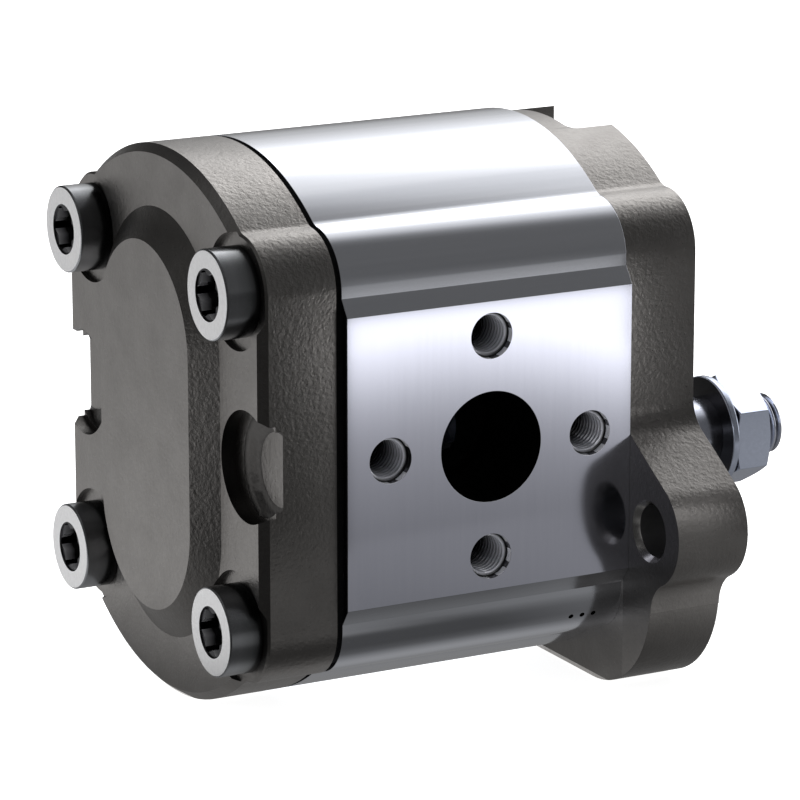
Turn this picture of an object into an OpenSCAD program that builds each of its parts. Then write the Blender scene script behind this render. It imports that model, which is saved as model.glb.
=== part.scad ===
// External gear pump with a flanged front cover, a cast rear cover and a tapered shaft end.
// The origin is the centre of the pilot on the mounting face, on the axis of the drive shaft.
// +X runs out along the shaft, the suction port faces -Y, and the driven gear lies above at +Z.

/* [Body] */
// Length of the extruded body between the two covers
body_len = 56.8; // [50:0.1:75]
// Radius of the round top and bottom, about the middle of the body
body_r = 50.2; // [49:0.1:52]
// Distance from the middle plane to the flat side of the body
body_side = 40.1; // [39.6:0.1:41]
// Radius of the four corner lobes, about the cover screws
lobe_r = 10; // [9:0.1:10.4]
// Radius of the hollow between a lobe and the round top
lobe_fillet = 4; // [2:0.5:6]
// Distance from the middle plane to the port faces
pad_y = 42.2; // [41.5:0.1:46]
// Half height of the flat port faces
pad_half = 26.2; // [22:0.1:28]
// Height of the slope between a port face and the side of the body
pad_slope = 3; // [2:0.5:6]

/* [Cover screws] */
// Distance between the screws across the body
screw_span_y = 60.2; // [59:0.1:61]
// Distance between the screws up the body
screw_span_z = 60.3; // [59:0.1:61]
// Thread diameter of the screws
screw_d = 10; // [8:0.5:11]
// Length of a screw under its head
screw_len = 80; // [76:1:81]
// Diameter of a screw head
screw_head_d = 16; // [14:0.5:17]
// Height of a screw's low head
screw_head_h = 6.3; // [6:0.1:8]
// Width across the points of the six-lobed socket
socket_d = 8.9; // [7:0.1:10]
// Depth of the six-lobed socket
socket_depth = 4; // [3:0.5:4.5]
// Gap all round a screw in its through hole
screw_gap = 0.25; // [0.2:0.05:0.5]

/* [Front cover] */
// Thickness of the front cover
front_t = 14.4; // [12.5:0.1:18]
// Radius of the round top of the front cover
front_r = 49.3; // [49:0.1:50]
// Half width of the foot of the front cover, and the depth of its flat bottom
foot_half = 50; // [49:0.1:52]
// Radius of the two lower corners of the foot
foot_r = 19.8; // [16:0.1:22]
// Distance between the two mounting holes
ear_span = 98.2; // [96:0.1:104]
// Height of the mounting holes below the shaft
ear_drop = 1.6; // [0:0.1:4]
// Radius of the ear round a mounting hole
ear_r = 10.1; // [9:0.1:12]
// Slope of the ear's upper edge, from level
ear_slope = 32; // [25:1:40]
// Radius of the hollows above and below an ear
ear_fillet = 7; // [4:0.5:8]
// Diameter of the mounting holes
ear_hole_d = 9.4; // [8.5:0.1:11]
// Bevel of the mounting holes on the pump side
ear_hole_bevel = 1; // [0.5:0.1:1.5]
// Half width of the slot in the top of the front cover
slot_half = 10.5; // [8:0.5:12]
// Length of that slot, from the mounting face
slot_len = 8.9; // [6:0.1:10]
// Height of the slot's floor above the middle of the body
slot_floor = 44.5; // [43:0.1:46]
// Radius of the slot's inner corners
slot_r = 2; // [1:0.5:3]
// Diameter of the centring pilot on the mounting face
pilot_d = 50; // [48:0.5:60]
// Height of the pilot
pilot_h = 5; // [4:0.5:6]

/* [Rear cover] */
// Thickness of the rear cover at its flat margin
rear_t = 15.5; // [14:0.1:18]
// Bevel round the outer edge of the rear cover
rear_bevel = 1.5; // [0.8:0.1:2]
// Width of the dark groove round the joint of the rear cover
groove_w = 1; // [0.6:0.1:1.4]
// Depth of that groove
groove_depth = 1.2; // [0.8:0.1:1.6]
// Height of the raised oval boss
boss_h = 3.5; // [2.5:0.1:5]
// Half width of the flat top of the boss
boss_half = 18.5; // [17:0.1:20]
// Half height of the flat top of the boss
boss_top = 33.8; // [32:0.1:35]
// Width of the sloped flank round the boss
boss_flank = 5.5; // [4:0.1:7]
// Depth of the screw seats below the flat margin
seat_depth = 1.1; // [0.8:0.1:1.4]
// Radius of the screw seats
seat_r = 10.3; // [10.1:0.1:11]
// Radius of the finger notches in the two sides
notch_r = 10; // [8:0.1:12]
// Distance of a notch's centre from the middle plane
notch_y = 34.3; // [33:0.1:36]
// Depth of the ledge round a notch
notch_depth = 2.7; // [2:0.1:4]
// Width of that ledge
notch_ledge = 0.8; // [0.5:0.1:1.5]
// Radius of the lower floor in a notch
notch_floor_r = 6.6; // [5:0.1:8]
// Distance of that floor's centre from the middle plane
notch_floor_y = 38.4; // [37:0.1:39]
// Depth of that floor below the ledge
notch_step = 1.4; // [0.8:0.1:2]
// Width of the slope from the ledge to that floor
notch_slope = 4; // [2:0.1:5]

/* [Punch marks] */
// Diameter of the three plain dots on the lower lobe of the suction side
mark_d = 1; // [0.6:0.1:1.4]
// Depth of the dots
mark_depth = 0.6; // [0.3:0.1:1]
// Distance from one dot to the next
mark_step = 2.3; // [1.8:0.1:3]
// Distance from the front cover to the nearest dot
mark_inset = 5.4; // [3:0.1:8]
// Slope of the dots below level
mark_angle = 27; // [10:1:40]

/* [Ports] */
// Diameter of the suction port
suction_d = 20; // [16:0.5:20]
// Circle of the suction port's tapped holes
suction_pcd = 40; // [38:0.5:42]
// Thread diameter of those holes
suction_thread_d = 8; // [7.5:0.1:8.5]
// Drilled diameter of those holes, before tapping
suction_tap_d = 6.8; // [6:0.1:7.2]
// Diameter of the pressure port, on the far side
pressure_d = 15; // [12:0.5:16]
// Circle of the pressure port's tapped holes
pressure_pcd = 35; // [33:0.5:40]
// Thread diameter of those holes
pressure_thread_d = 6; // [6:0.1:6.6]
// Drilled diameter of those holes, before tapping
pressure_tap_d = 5; // [4.5:0.1:5.6]
// Depth of the ports at their full width
port_depth = 20; // [18:0.5:21]
// Step from a port to its narrower throat
throat_step = 0.8; // [0.4:0.1:1.5]
// Depth of the tapped holes
tap_depth = 15; // [12:0.5:16]
// Depth of the plain ring at the mouth of a tapped hole
mouth_depth = 0.9; // [0.5:0.1:1.5]

/* [Gears] */
// Number of teeth of each gear
gear_teeth = 12; // [11:1:13]
// Distance between the two gear axes
gear_centres = 32; // [31:0.1:33]
// Width of the gears
gear_width = 20; // [16:0.5:26]
// Pressure angle of the teeth
pressure_angle = 25; // [24:0.5:27]
// Play between the meshing teeth, along the pitch circle
backlash = 0.2; // [0.1:0.05:0.3]
// Gap between the tooth tips and the chamber
tip_gap = 0.08; // [0.05:0.01:0.15]
// Diameter of the journals
journal_d = 17; // [15:0.5:18]

/* [Bearings] */
// Wall of the bearing bushes
bush_wall = 1; // [0.8:0.1:1.5]
// Running gap between a journal and its bush
run_gap = 0.03; // [0.02:0.01:0.06]
// Gap between a gear's face and its bearing block
side_gap = 0.05; // [0.03:0.01:0.1]
// Sliding gap between a bearing block and its chamber
block_gap = 0.05; // [0.03:0.01:0.1]
// Depth of the pockets that let trapped oil out
relief_depth = 2; // [1:0.5:3]

/* [Seals] */
// Cord of the seal between the body and a cover
joint_seal_d = 1.8; // [1.5:0.1:2.2]
// Distance of that seal outside the chamber
joint_seal_offset = 3.2; // [2.5:0.1:4]
// Width of the seal on the back of a bearing block
block_seal_w = 1.8; // [1.2:0.1:2.2]
// Height of that seal
block_seal_h = 1.6; // [1:0.1:2]
// Thickness of the backup ring under that seal
backup_t = 0.8; // [0.5:0.1:1.2]
// Outside diameter of the shaft seal
shaft_seal_d = 30; // [28:0.5:34]
// Width of the shaft seal
shaft_seal_w = 7; // [6:0.5:8]
// Thickness of the ring that keeps the shaft seal in
keeper_t = 1.2; // [1:0.1:1.5]

/* [Dowels] */
// Diameter of the dowel pins
dowel_d = 5; // [4:0.5:6]
// Length of the dowel pins
dowel_len = 12; // [8:1:14]
// Distance of the dowels from the middle plane
dowel_y = 34; // [33:0.5:35]
// Height of the dowels above and below the middle of the body
dowel_z = 13; // [12:0.5:14]

/* [Shaft end] */
// Distance from the mounting face to the wide end of the taper
taper_start = 2.6; // [1:0.1:4]
// Length of the taper
taper_len = 25; // [22:0.5:28]
// Length of taper for each millimetre of diameter
taper_ratio = 8; // [7:1:10]
// Thread diameter of the shaft end
thread_d = 12; // [10:0.5:12.5]
// Length of the threaded end
thread_len = 14.4; // [13:0.1:18]
// Outside diameter of the washer
washer_d = 21.6; // [20:0.1:24]
// Thickness of the washer
washer_t = 1.5; // [1:0.1:2.5]
// Width of the nut across its flats
nut_af = 19; // [18:0.5:21]
// Thickness of the nut
nut_t = 7.8; // [6:0.1:9]
// Diameter of the woodruff key's disc
key_d = 16; // [13:0.5:18]
// Thickness of the key
key_w = 3; // [2.5:0.1:4]
// Height of the key
key_h = 6.5; // [5:0.1:7]
// Height of the key above the taper
key_proud = 1.3; // [1:0.1:1.6]

/* [Hidden] */

$fn = 96;
cut = 1;
seat_gap = 0.02;
// How far a hollow runs into the outlines that it joins
run_in = 0.02;

// Places along the shaft, from the mounting face at 0
front_x = -front_t;
body_mid_x = front_x - body_len / 2;
rear_x = front_x - body_len;
margin_x = rear_x - rear_t;
boss_x = margin_x - boss_h;
seat_x = margin_x + seat_depth;
middle_z = gear_centres / 2;

// Gear proportions
pitch_r = gear_centres / 2;
gear_module = gear_centres / gear_teeth;
base_r = pitch_r * cos(pressure_angle);
tip_r = pitch_r + gear_module;
root_r = pitch_r - 1.25 * gear_module;
chamber_r = tip_r + tip_gap;
flank_steps = 8;
tip_roll = sqrt(pow(tip_r / base_r, 2) - 1);

// Bearings
block_r = chamber_r - block_gap;
block_len = (body_len - gear_width) / 2 - side_gap;
block_bevel = 0.4;
bush_r = journal_d / 2 + run_gap;
bush_seat_r = bush_r + bush_wall;
bush_short = 0.6;
journal_short = 0.8;
journal_bevel = 0.5;

// Seals
joint_groove_depth = joint_seal_d + 0.05;
joint_groove_w = joint_seal_d + 0.3;
joint_seal_r = chamber_r + joint_seal_offset;
block_seal_r = (bush_seat_r + block_r) / 2 - 0.3;
block_groove_gap = 0.05;
pocket_depth = pilot_h + shaft_seal_w - 1;
pocket_x = pilot_h - pocket_depth;
seal_out_x = pocket_x + shaft_seal_w;
keeper_x = seal_out_x + 0.1;
keeper_groove = 0.8;
shaft_hole_r = journal_d / 2 + 0.8;
seal_wall = 1.4;
lip_r = journal_d / 2 + run_gap;
lip_wall = 1.2;
lip_web = 4;
lip_edge = 1.6;
spring_r = 0.6;
spring_out = 2.6;
spring_seat_r = lip_r + spring_out;
spring_top = lip_edge + 1.5 * spring_r;

// Shaft end
taper_end_x = taper_start + taper_len;
taper_end_d = journal_d - taper_len / taper_ratio;
thread_end_x = taper_end_x + thread_len;
thread_bevel = 0.3;
relief_r = thread_d / 2 - 0.9;
relief_len = 2;
washer_hole_r = thread_d / 2 + 0.4;
nut_x = taper_end_x + washer_t;
nut_corner_r = nut_af / 2 / cos(30);
nut_face_r = nut_af / 2 * 0.96;
nut_bevel_angle = 25;
key_x = taper_start + taper_len * 0.48;
taper_key_r = (journal_d - (key_x - taper_start) / taper_ratio) / 2;
key_top = taper_key_r + key_proud;
key_axis_y = key_top - key_h + key_d / 2;

// Carries a shape drawn in Y and Z along +X, starting at x
module along_x(x) translate([x, 0, 0]) rotate([90, 0, 90]) children();

// Carries it at the height of the middle of the body
module about_middle() translate([0, 0, middle_z]) children();

// A round bar or a drill along X
module bar_x(x, r, length) along_x(x) cylinder(h = length, r = r);

// Repeats a shape at the two gear axes
module at_gears() for (z = [0, gear_centres]) translate([0, 0, z]) children();

// Repeats a shape at the four cover screws
module at_screws()
    for (side = [-1, 1], level = [-1, 1])
        translate([0, side * screw_span_y / 2, middle_z + level * screw_span_z / 2]) children();

// Repeats a shape at the two dowels, which stand on a diagonal
module at_dowels()
    for (side = [-1, 1])
        translate([0, side * dowel_y, middle_z - side * dowel_z]) children();

// Height of the centre of a circle of radius b, touching one of radius a at the origin
// and lying at the distance y to the side
function beside(a, b, y) = sqrt(pow(a + b, 2) - y * y);

// One corner of the hollow between the round top of radius top_r and a lobe
module lobe_hollow(top_r) {
    lobe = [screw_span_y / 2, screw_span_z / 2];
    span = norm(lobe);
    near = top_r + lobe_fillet;
    far = lobe_r + lobe_fillet;
    along = (near * near - far * far + span * span) / (2 * span);
    aside = sqrt(near * near - along * along);
    unit = lobe / span;
    centre = unit * along + [-unit[1], unit[0]] * aside;
    on_top = centre * top_r / near;
    on_lobe = lobe + (centre - lobe) * lobe_r / far;
    difference() {
        polygon([centre, on_top, lobe, on_lobe]);
        translate(centre) circle(r = lobe_fillet + run_in);
    }
}

// Outline of the body without its port faces, about the middle of the body
module lobed_outline(top_r, shrink) {
    intersection() {
        circle(r = top_r - shrink, $fn = 180);
        square([2 * (body_side - shrink), 4 * top_r], center = true);
    }
    for (y = [-1, 1], z = [-1, 1])
        translate([y * screw_span_y / 2, z * screw_span_z / 2]) circle(r = lobe_r - shrink);
}

module lobe_hollows(top_r)
    for (y = [0, 1], z = [0, 1]) mirror([y, 0]) mirror([0, z]) lobe_hollow(top_r);

// Outline of the two raised port faces, whose slopes run on into the body
module pad_outline() {
    inside = 2;
    root_y = body_side - inside;
    root_z = pad_half + pad_slope * (pad_y - root_y) / (pad_y - body_side);
    polygon([for (y = [-1, 1], z = [-y, y]) each z == y
        ? [[y * pad_y, z * pad_half], [y * root_y, z * root_z]]
        : [[y * root_y, z * root_z], [y * pad_y, z * pad_half]]]);
}

// An oval of two half circles, with its ends at the gear axes
module gear_oval(r) {
    for (z = [0, gear_centres]) translate([0, z]) circle(r = r);
    translate([-r, 0]) square([2 * r, gear_centres]);
}

// Groove for the seal between the body and a cover, cut from x inwards
module joint_groove(x)
    along_x(x) linear_extrude(joint_groove_depth) difference() {
        gear_oval(joint_seal_r + joint_groove_w / 2);
        gear_oval(joint_seal_r - joint_groove_w / 2);
    }

// A cord of round section that follows the same oval
module joint_cord(x) {
    for (end = [0, 1])
        translate([x, 0, end * gear_centres]) rotate([0, 90, 0]) rotate([0, 0, end * 180])
            rotate_extrude(angle = 180, start = -90)
                translate([joint_seal_r, 0]) circle(d = joint_seal_d, $fn = 24);
    for (side = [-1, 1])
        translate([x, side * joint_seal_r, 0]) cylinder(h = gear_centres, d = joint_seal_d, $fn = 24);
}

// A tapped hole into a port face: a plain ring, a cone and the tap drill
module tapped_hole(tap_d, thread) {
    ring_r = thread / 2 + 0.1;
    cone = ring_r - tap_d / 2;
    translate([0, 0, -tap_depth]) cylinder(h = tap_depth + cut, d = tap_d);
    translate([0, 0, -mouth_depth]) cylinder(h = mouth_depth + cut, r = ring_r);
    translate([0, 0, -mouth_depth - cone]) cylinder(h = cone, r1 = tap_d / 2, r2 = ring_r);
}

// A port with its throat into the chamber and its four tapped holes, cut along Z into a face at z = 0
module port(d, pcd, tap_d, thread) {
    throat_depth = pad_y - pitch_r / 2;
    translate([0, 0, -port_depth]) cylinder(h = port_depth + cut, d = d);
    translate([0, 0, -throat_depth]) cylinder(h = throat_depth, r = d / 2 - throat_step);
    for (a = [0 : 90 : 270]) rotate(a) translate([pcd / 2, 0, 0]) tapped_hole(tap_d, thread);
}

// Three dots in a row on the lower lobe of the suction side
module punch_marks()
    for (i = [0 : 2])
        translate([front_x - mark_inset - i * mark_step, -screw_span_y / 2, middle_z - screw_span_z / 2])
            rotate([90 + mark_angle, 0, 0]) translate([0, 0, lobe_r - mark_depth])
                cylinder(h = mark_depth + cut, d = mark_d, $fn = 24);

module pump_body() {
    color("#c9cdd2") difference() {
        about_middle() along_x(rear_x) linear_extrude(body_len) {
            lobed_outline(body_r, 0);
            lobe_hollows(body_r);
            pad_outline();
        }
        at_gears() bar_x(rear_x - cut, chamber_r, body_len + 2 * cut);
        at_screws() bar_x(rear_x - cut, screw_d / 2 + screw_gap, body_len + 2 * cut);
        at_dowels() for (x = [rear_x - cut, front_x - dowel_len / 2 - cut])
            bar_x(x, dowel_d / 2 + seat_gap, dowel_len / 2 + 2 * cut);
        translate([body_mid_x, -pad_y, middle_z]) rotate([90, 0, 0])
            port(suction_d, suction_pcd, suction_tap_d, suction_thread_d);
        translate([body_mid_x, pad_y, middle_z]) rotate([-90, 0, 0])
            port(pressure_d, pressure_pcd, pressure_tap_d, pressure_thread_d);
        punch_marks();
    }
}

// One side of the front cover's foot and ear, about the middle of the body
module ear_side() {
    ear = [ear_span / 2, -middle_z - ear_drop];
    flank = ear + (ear_r - run_in) * [sin(ear_slope), cos(ear_slope)];
    reach = flank[0] - body_side;
    corner_z = flank[1] + reach * tan(ear_slope);
    tangent = ear_fillet * tan((90 - ear_slope) / 2);
    upper = [body_side + ear_fillet, corner_z + tangent];
    upper_on = upper - ear_fillet * [sin(ear_slope), cos(ear_slope)];
    aside = foot_half + ear_fillet - ear[0];
    lower = [foot_half + ear_fillet, ear[1] - beside(ear_r, ear_fillet, aside)];
    lower_on = ear + (lower - ear) * ear_r / (ear_r + ear_fillet);
    difference() {
        union() {
            translate(ear) circle(r = ear_r);
            polygon([[0, upper[1]], [body_side, upper[1]], upper_on, flank, ear, lower_on,
                lower, [foot_half, lower[1]], [0, lower[1]]]);
            polygon([[body_side, upper[1]], upper, upper_on, flank, ear, [0, ear[1]]]);
        }
        for (hollow = [upper, lower]) translate(hollow) circle(r = ear_fillet + run_in);
    }
}

module front_outline() {
    lobed_outline(front_r, 0);
    lobe_hollows(front_r);
    for (y = [0, 1]) mirror([y, 0]) {
        ear_side();
        translate([foot_half - foot_r, foot_r - foot_half]) circle(r = foot_r);
        translate([0, foot_r - foot_half]) square([foot_half, foot_half - foot_r - middle_z]);
        translate([0, -foot_half]) square([foot_half - foot_r, foot_half / 2]);
    }
}

// Slot in the top of the front cover, open at the mounting face
module top_slot() {
    translate([-slot_len, -slot_half, middle_z + slot_floor]) {
        translate([slot_r, 0, 0]) cube([slot_len, 2 * slot_half, body_r]);
        translate([0, slot_r, 0]) cube([slot_len, 2 * (slot_half - slot_r), body_r]);
        for (y = [slot_r, 2 * slot_half - slot_r])
            translate([slot_r, y, 0]) cylinder(h = body_r, r = slot_r, $fn = 48);
    }
}

module front_cover() {
    pilot_bevel = 0.6;
    color("#55524f") difference() {
        union() {
            about_middle() along_x(front_x) linear_extrude(front_t) front_outline();
            bar_x(-cut, pilot_d / 2, pilot_h + cut - pilot_bevel);
            along_x(pilot_h - pilot_bevel)
                cylinder(h = pilot_bevel, r1 = pilot_d / 2, r2 = pilot_d / 2 - pilot_bevel);
        }
        top_slot();
        at_screws() bar_x(front_x - cut, screw_d / 2 + seat_gap, front_t + 2 * cut);
        at_dowels() bar_x(front_x - cut, dowel_d / 2 + seat_gap, dowel_len / 2 + cut);
        bar_x(front_x - cut, shaft_hole_r, front_t + pilot_h + 2 * cut);
        bar_x(pocket_x, shaft_seal_d / 2, pocket_depth + cut);
        bar_x(keeper_x, shaft_seal_d / 2 + keeper_groove, keeper_t + 0.1);
        for (side = [-1, 1]) translate([0, side * ear_span / 2, -ear_drop]) {
            bar_x(front_x - cut, ear_hole_d / 2, front_t + 2 * cut);
            along_x(front_x) cylinder(h = ear_hole_bevel,
                r1 = ear_hole_d / 2 + ear_hole_bevel, r2 = ear_hole_d / 2);
        }
        joint_groove(front_x);
    }
}

// Section of the boss, from its middle out to the foot of its flank
boss_foot = boss_half + boss_flank;
boss_section = [[0, -cut], [0, boss_h], [boss_half, boss_h], [boss_foot, 0], [boss_foot, -cut]];

// Raised oval boss on the flat margin, about the middle of the body
module boss() {
    end_z = boss_top - boss_half;
    for (z = [-1, 1])
        translate([margin_x, 0, z * end_z]) rotate([0, -90, 0]) rotate_extrude() polygon(boss_section);
    for (side = [0, 1]) mirror([0, side, 0])
        translate([margin_x, 0, -end_z]) rotate(90) linear_extrude(2 * end_z) polygon(boss_section);
}

// Lobed plate whose outer edge is bevelled all round, made of bevelled discs and a slab
module bevelled_plate() {
    plate_t = rear_t - groove_w;
    plain_t = plate_t - rear_bevel;
    top_w = 2 * (body_side - rear_bevel);
    intersection() {
        union() {
            cylinder(h = rear_bevel, r1 = body_r - rear_bevel, r2 = body_r, $fn = 180);
            translate([0, 0, rear_bevel]) cylinder(h = plain_t, r = body_r, $fn = 180);
        }
        union() {
            translate([0, 2 * body_r, 0]) rotate([90, 0, 0]) linear_extrude(4 * body_r)
                polygon([[-top_w / 2, 0], [top_w / 2, 0], [body_side, rear_bevel],
                    [body_side, plate_t], [-body_side, plate_t], [-body_side, rear_bevel]]);
        }
    }
    for (y = [-1, 1], z = [-1, 1])
        translate([y * screw_span_y / 2, z * screw_span_z / 2, 0]) {
            cylinder(h = rear_bevel, r1 = lobe_r - rear_bevel, r2 = lobe_r);
            translate([0, 0, rear_bevel]) cylinder(h = plain_t, r = lobe_r);
        }
    translate([0, 0, rear_bevel]) linear_extrude(plain_t) lobe_hollows(body_r);
}

// Notch in the side of the rear cover: a ledge, and a slope from it to a lower floor
module side_notch() {
    along_x(margin_x - cut) {
        translate([notch_y, 0]) cylinder(h = notch_depth + cut, r = notch_r);
        intersection() {
            translate([notch_y, 0]) cylinder(h = 2 * notch_depth + notch_step, r = notch_r - notch_ledge);
            translate([notch_floor_y, 0, notch_depth + cut])
                cylinder(h = notch_step, r1 = notch_floor_r + notch_slope, r2 = notch_floor_r);
        }
    }
}

module rear_cover() {
    color("#5d5a57") difference() {
        union() {
            about_middle() {
                along_x(margin_x) bevelled_plate();
                along_x(rear_x - groove_w - cut) linear_extrude(groove_w + cut)
                    lobed_outline(body_r, groove_depth);
                boss();
            }
        }
        at_screws() {
            bar_x(boss_x - cut, seat_r, seat_x - boss_x + cut);
            bar_x(seat_x - cut, screw_d / 2 + screw_gap, rear_t + 2 * cut);
        }
        about_middle() for (y = [0, 1]) mirror([0, y, 0]) side_notch();
        at_dowels() bar_x(rear_x - dowel_len / 2 - seat_gap, dowel_d / 2 + seat_gap, dowel_len);
        joint_groove(rear_x - joint_groove_depth);
    }
}

// Six-lobed socket, drawn on its own axis
module socket_outline() {
    flute_r = socket_d * 0.155;
    difference() {
        circle(d = socket_d, $fn = 48);
        for (a = [0 : 60 : 300]) rotate(a) translate([socket_d / 2 - 0.1, 0]) circle(r = flute_r, $fn = 24);
    }
}

// Cap screw with its head towards -X
module cap_screw() {
    head_bevel = 0.7;
    head_x = seat_x - screw_head_h;
    difference() {
        union() {
            along_x(head_x) cylinder(h = head_bevel, r1 = screw_head_d / 2 - head_bevel, d2 = screw_head_d);
            bar_x(head_x + head_bevel, screw_head_d / 2, screw_head_h - head_bevel);
            bar_x(seat_x - cut, screw_d / 2, screw_len + cut - 1);
            along_x(seat_x + screw_len - 1) cylinder(h = 1, d1 = screw_d, d2 = screw_d - 2);
        }
        along_x(head_x - cut) linear_extrude(socket_depth + cut) socket_outline();
        along_x(head_x) cylinder(h = 0.35, d1 = socket_d + 0.5, d2 = socket_d - 0.2);
    }
}

module cover_screws() color("#3a3b3d") at_screws() cap_screw();

// Dowel pin with bevelled ends, centred on a joint at x
module dowel(x) {
    tip = 0.5;
    pin_len = dowel_len - 2 * seat_gap;
    bar_x(x - pin_len / 2 + tip, dowel_d / 2, pin_len - 2 * tip);
    along_x(x - pin_len / 2) cylinder(h = tip, d1 = dowel_d - 2 * tip, d2 = dowel_d);
    along_x(x + pin_len / 2 - tip) cylinder(h = tip, d1 = dowel_d, d2 = dowel_d - 2 * tip);
}

module front_dowels() color("#9a9ca0") at_dowels() dowel(front_x);
module rear_dowels() color("#9a9ca0") at_dowels() dowel(rear_x);

// Path of the seal on the back of a block, drawn in Y and Z: a 3 that is open to the suction side
module block_seal_outline(width) {
    open_y = -bush_seat_r / 2;
    for (z = [0, gear_centres]) translate([0, z]) intersection() {
        difference() {
            circle(r = block_seal_r + width / 2);
            circle(r = block_seal_r - width / 2);
        }
        translate([open_y - (width - block_seal_w) / 2, -block_r]) square(2 * block_r);
    }
    leg_y = sqrt(block_r * block_r - middle_z * middle_z) - 2;
    translate([-leg_y - (width - block_seal_w) / 2, middle_z - width / 2])
        square([leg_y + width / 2, width]);
    translate([-width / 2, block_seal_r]) square([width, gear_centres - 2 * block_seal_r]);
}

// Bearing block with its gear side at x = 0 and its back at x = block_len
module bearing_block() {
    relief_z = gear_module * 2.6;
    relief_y = gear_module * 2.4;
    difference() {
        at_gears() {
            bar_x(0, block_r, block_len - block_bevel);
            along_x(block_len - block_bevel)
                cylinder(h = block_bevel, r1 = block_r, r2 = block_r - block_bevel);
        }
        at_gears() bar_x(-cut, bush_seat_r, block_len + 2 * cut);
        along_x(block_len - block_seal_h - backup_t) linear_extrude(block_seal_h + backup_t + cut)
            block_seal_outline(block_seal_w + 2 * block_groove_gap);
        for (side = [-1, 1])
            translate([-cut, side * relief_y - relief_y / 2, middle_z - relief_z / 2])
                cube([relief_depth + cut, relief_y, relief_z]);
    }
}

// Turns a part drawn in front of the gears into its place there, or behind them
module in_front() translate([front_x - block_len, 0, 0]) children();
module behind() translate([rear_x + block_len, 0, 0]) mirror([1, 0, 0]) children();

module front_bearing_block() color("#b8bcc2") in_front() bearing_block();
module rear_bearing_block() color("#b8bcc2") behind() bearing_block();

// Plain bush at the height z, pressed into a block
module bush(z) {
    along_x(bush_short) translate([0, z, 0]) difference() {
        cylinder(h = block_len - 2 * bush_short, r = bush_seat_r - seat_gap / 2);
        translate([0, 0, -cut]) cylinder(h = block_len + 2 * cut, r = bush_r);
    }
}

module front_drive_bush() color("#a9825a") in_front() bush(0);
module rear_drive_bush() color("#a9825a") behind() bush(0);
module front_driven_bush() color("#a9825a") in_front() bush(gear_centres);
module rear_driven_bush() color("#a9825a") behind() bush(gear_centres);

module front_joint_seal() color("#202224") joint_cord(front_x + joint_groove_depth / 2);
module rear_joint_seal() color("#202224") joint_cord(rear_x - joint_groove_depth / 2);

module block_seal() along_x(block_len - block_seal_h) linear_extrude(block_seal_h)
    block_seal_outline(block_seal_w);
module backup_ring() along_x(block_len - block_seal_h - backup_t) linear_extrude(backup_t)
    block_seal_outline(block_seal_w);

module front_block_seal() color("#202224") in_front() block_seal();
module rear_block_seal() color("#202224") behind() block_seal();
module front_backup_ring() color("#e6e2d6") in_front() backup_ring();
module rear_backup_ring() color("#e6e2d6") behind() backup_ring();

// Steel case of the shaft seal: a cup that is open towards the gears
module shaft_seal_case() {
    case_r = shaft_seal_d / 2 - seat_gap;
    color("#2b2b2b") along_x(pocket_x) rotate_extrude()
        polygon([[case_r, 0], [case_r, shaft_seal_w], [lip_r + 2.5, shaft_seal_w],
            [lip_r + 2.5, shaft_seal_w - seal_wall], [case_r - seal_wall, shaft_seal_w - seal_wall],
            [case_r - seal_wall, 0]]);
}

// Rubber lip of the shaft seal, with a seat for its spring. Its web runs out along the case,
// its neck runs back along the shaft, and its edge touches the shaft near the gears.
module shaft_seal_lip() {
    face = shaft_seal_w - seal_wall;
    web_r = lip_r + lip_web;
    neck_r = lip_r + lip_wall * 1.5;
    color("#27221f") along_x(pocket_x) rotate_extrude() difference() {
        polygon([[web_r, face], [lip_r + lip_wall, face], [lip_r + lip_wall / 2, face - lip_edge],
            [lip_r, lip_edge], [lip_r + lip_wall / 2, lip_edge / 2], [spring_seat_r, lip_edge / 2],
            [spring_seat_r, spring_top], [neck_r, face - lip_wall], [web_r, face - lip_wall]]);
        translate([spring_seat_r, lip_edge]) circle(r = spring_r + seat_gap, $fn = 24);
    }
}

// Garter spring round the lip
module shaft_seal_spring()
    color("#8a8d90") along_x(pocket_x) rotate_extrude() translate([spring_seat_r, lip_edge])
        circle(r = spring_r, $fn = 24);

// Snap ring that keeps the shaft seal in its pocket, with two lugs beside its gap
module seal_keeper_ring() {
    ring_r = shaft_seal_d / 2 + keeper_groove - seat_gap;
    ring_w = 2.6;
    gap_w = 6;
    lug_r = 1.8;
    lug_hole_r = 0.8;
    lug_inset = 3.2;
    module at_lugs() for (side = [-1, 1])
        translate([side * (gap_w / 2 + lug_r), lug_inset - ring_r]) children();
    color("#3c3d3f") along_x(keeper_x + 0.05) linear_extrude(keeper_t) difference() {
        union() {
            difference() {
                circle(r = ring_r);
                circle(r = ring_r - ring_w);
                translate([-gap_w / 2, -ring_r - cut]) square([gap_w, ring_r]);
            }
            at_lugs() circle(r = lug_r, $fn = 32);
        }
        at_lugs() circle(r = lug_hole_r, $fn = 24);
    }
}

// Involute of the base circle: distance from the axis and angle swept, for a roll angle in radians
function roll_r(roll) = base_r * sqrt(1 + roll * roll);
function roll_angle(roll) = roll * 180 / PI - atan(roll);

// Half of a tooth's angle at the pitch circle and at the base circle
half_pitch = 90 / gear_teeth - backlash / 4 / pitch_r * 180 / PI;
half_base = half_pitch + roll_angle(tan(pressure_angle));

function polar(r, a) = [r * cos(a), r * sin(a)];
function flank_point(step, side) =
    let (roll = tip_roll * step / flank_steps)
    polar(roll_r(roll), side * (half_base - roll_angle(roll)));

// One tooth from root to tip and down again, pointing along the first axis
tooth = concat([polar(root_r, -half_base)],
    [for (i = [0 : flank_steps]) flank_point(i, -1)],
    [for (i = [flank_steps : -1 : 0]) flank_point(i, 1)],
    [polar(root_r, half_base)]);

function turned(p, a) = [p[0] * cos(a) - p[1] * sin(a), p[0] * sin(a) + p[1] * cos(a)];

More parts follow.
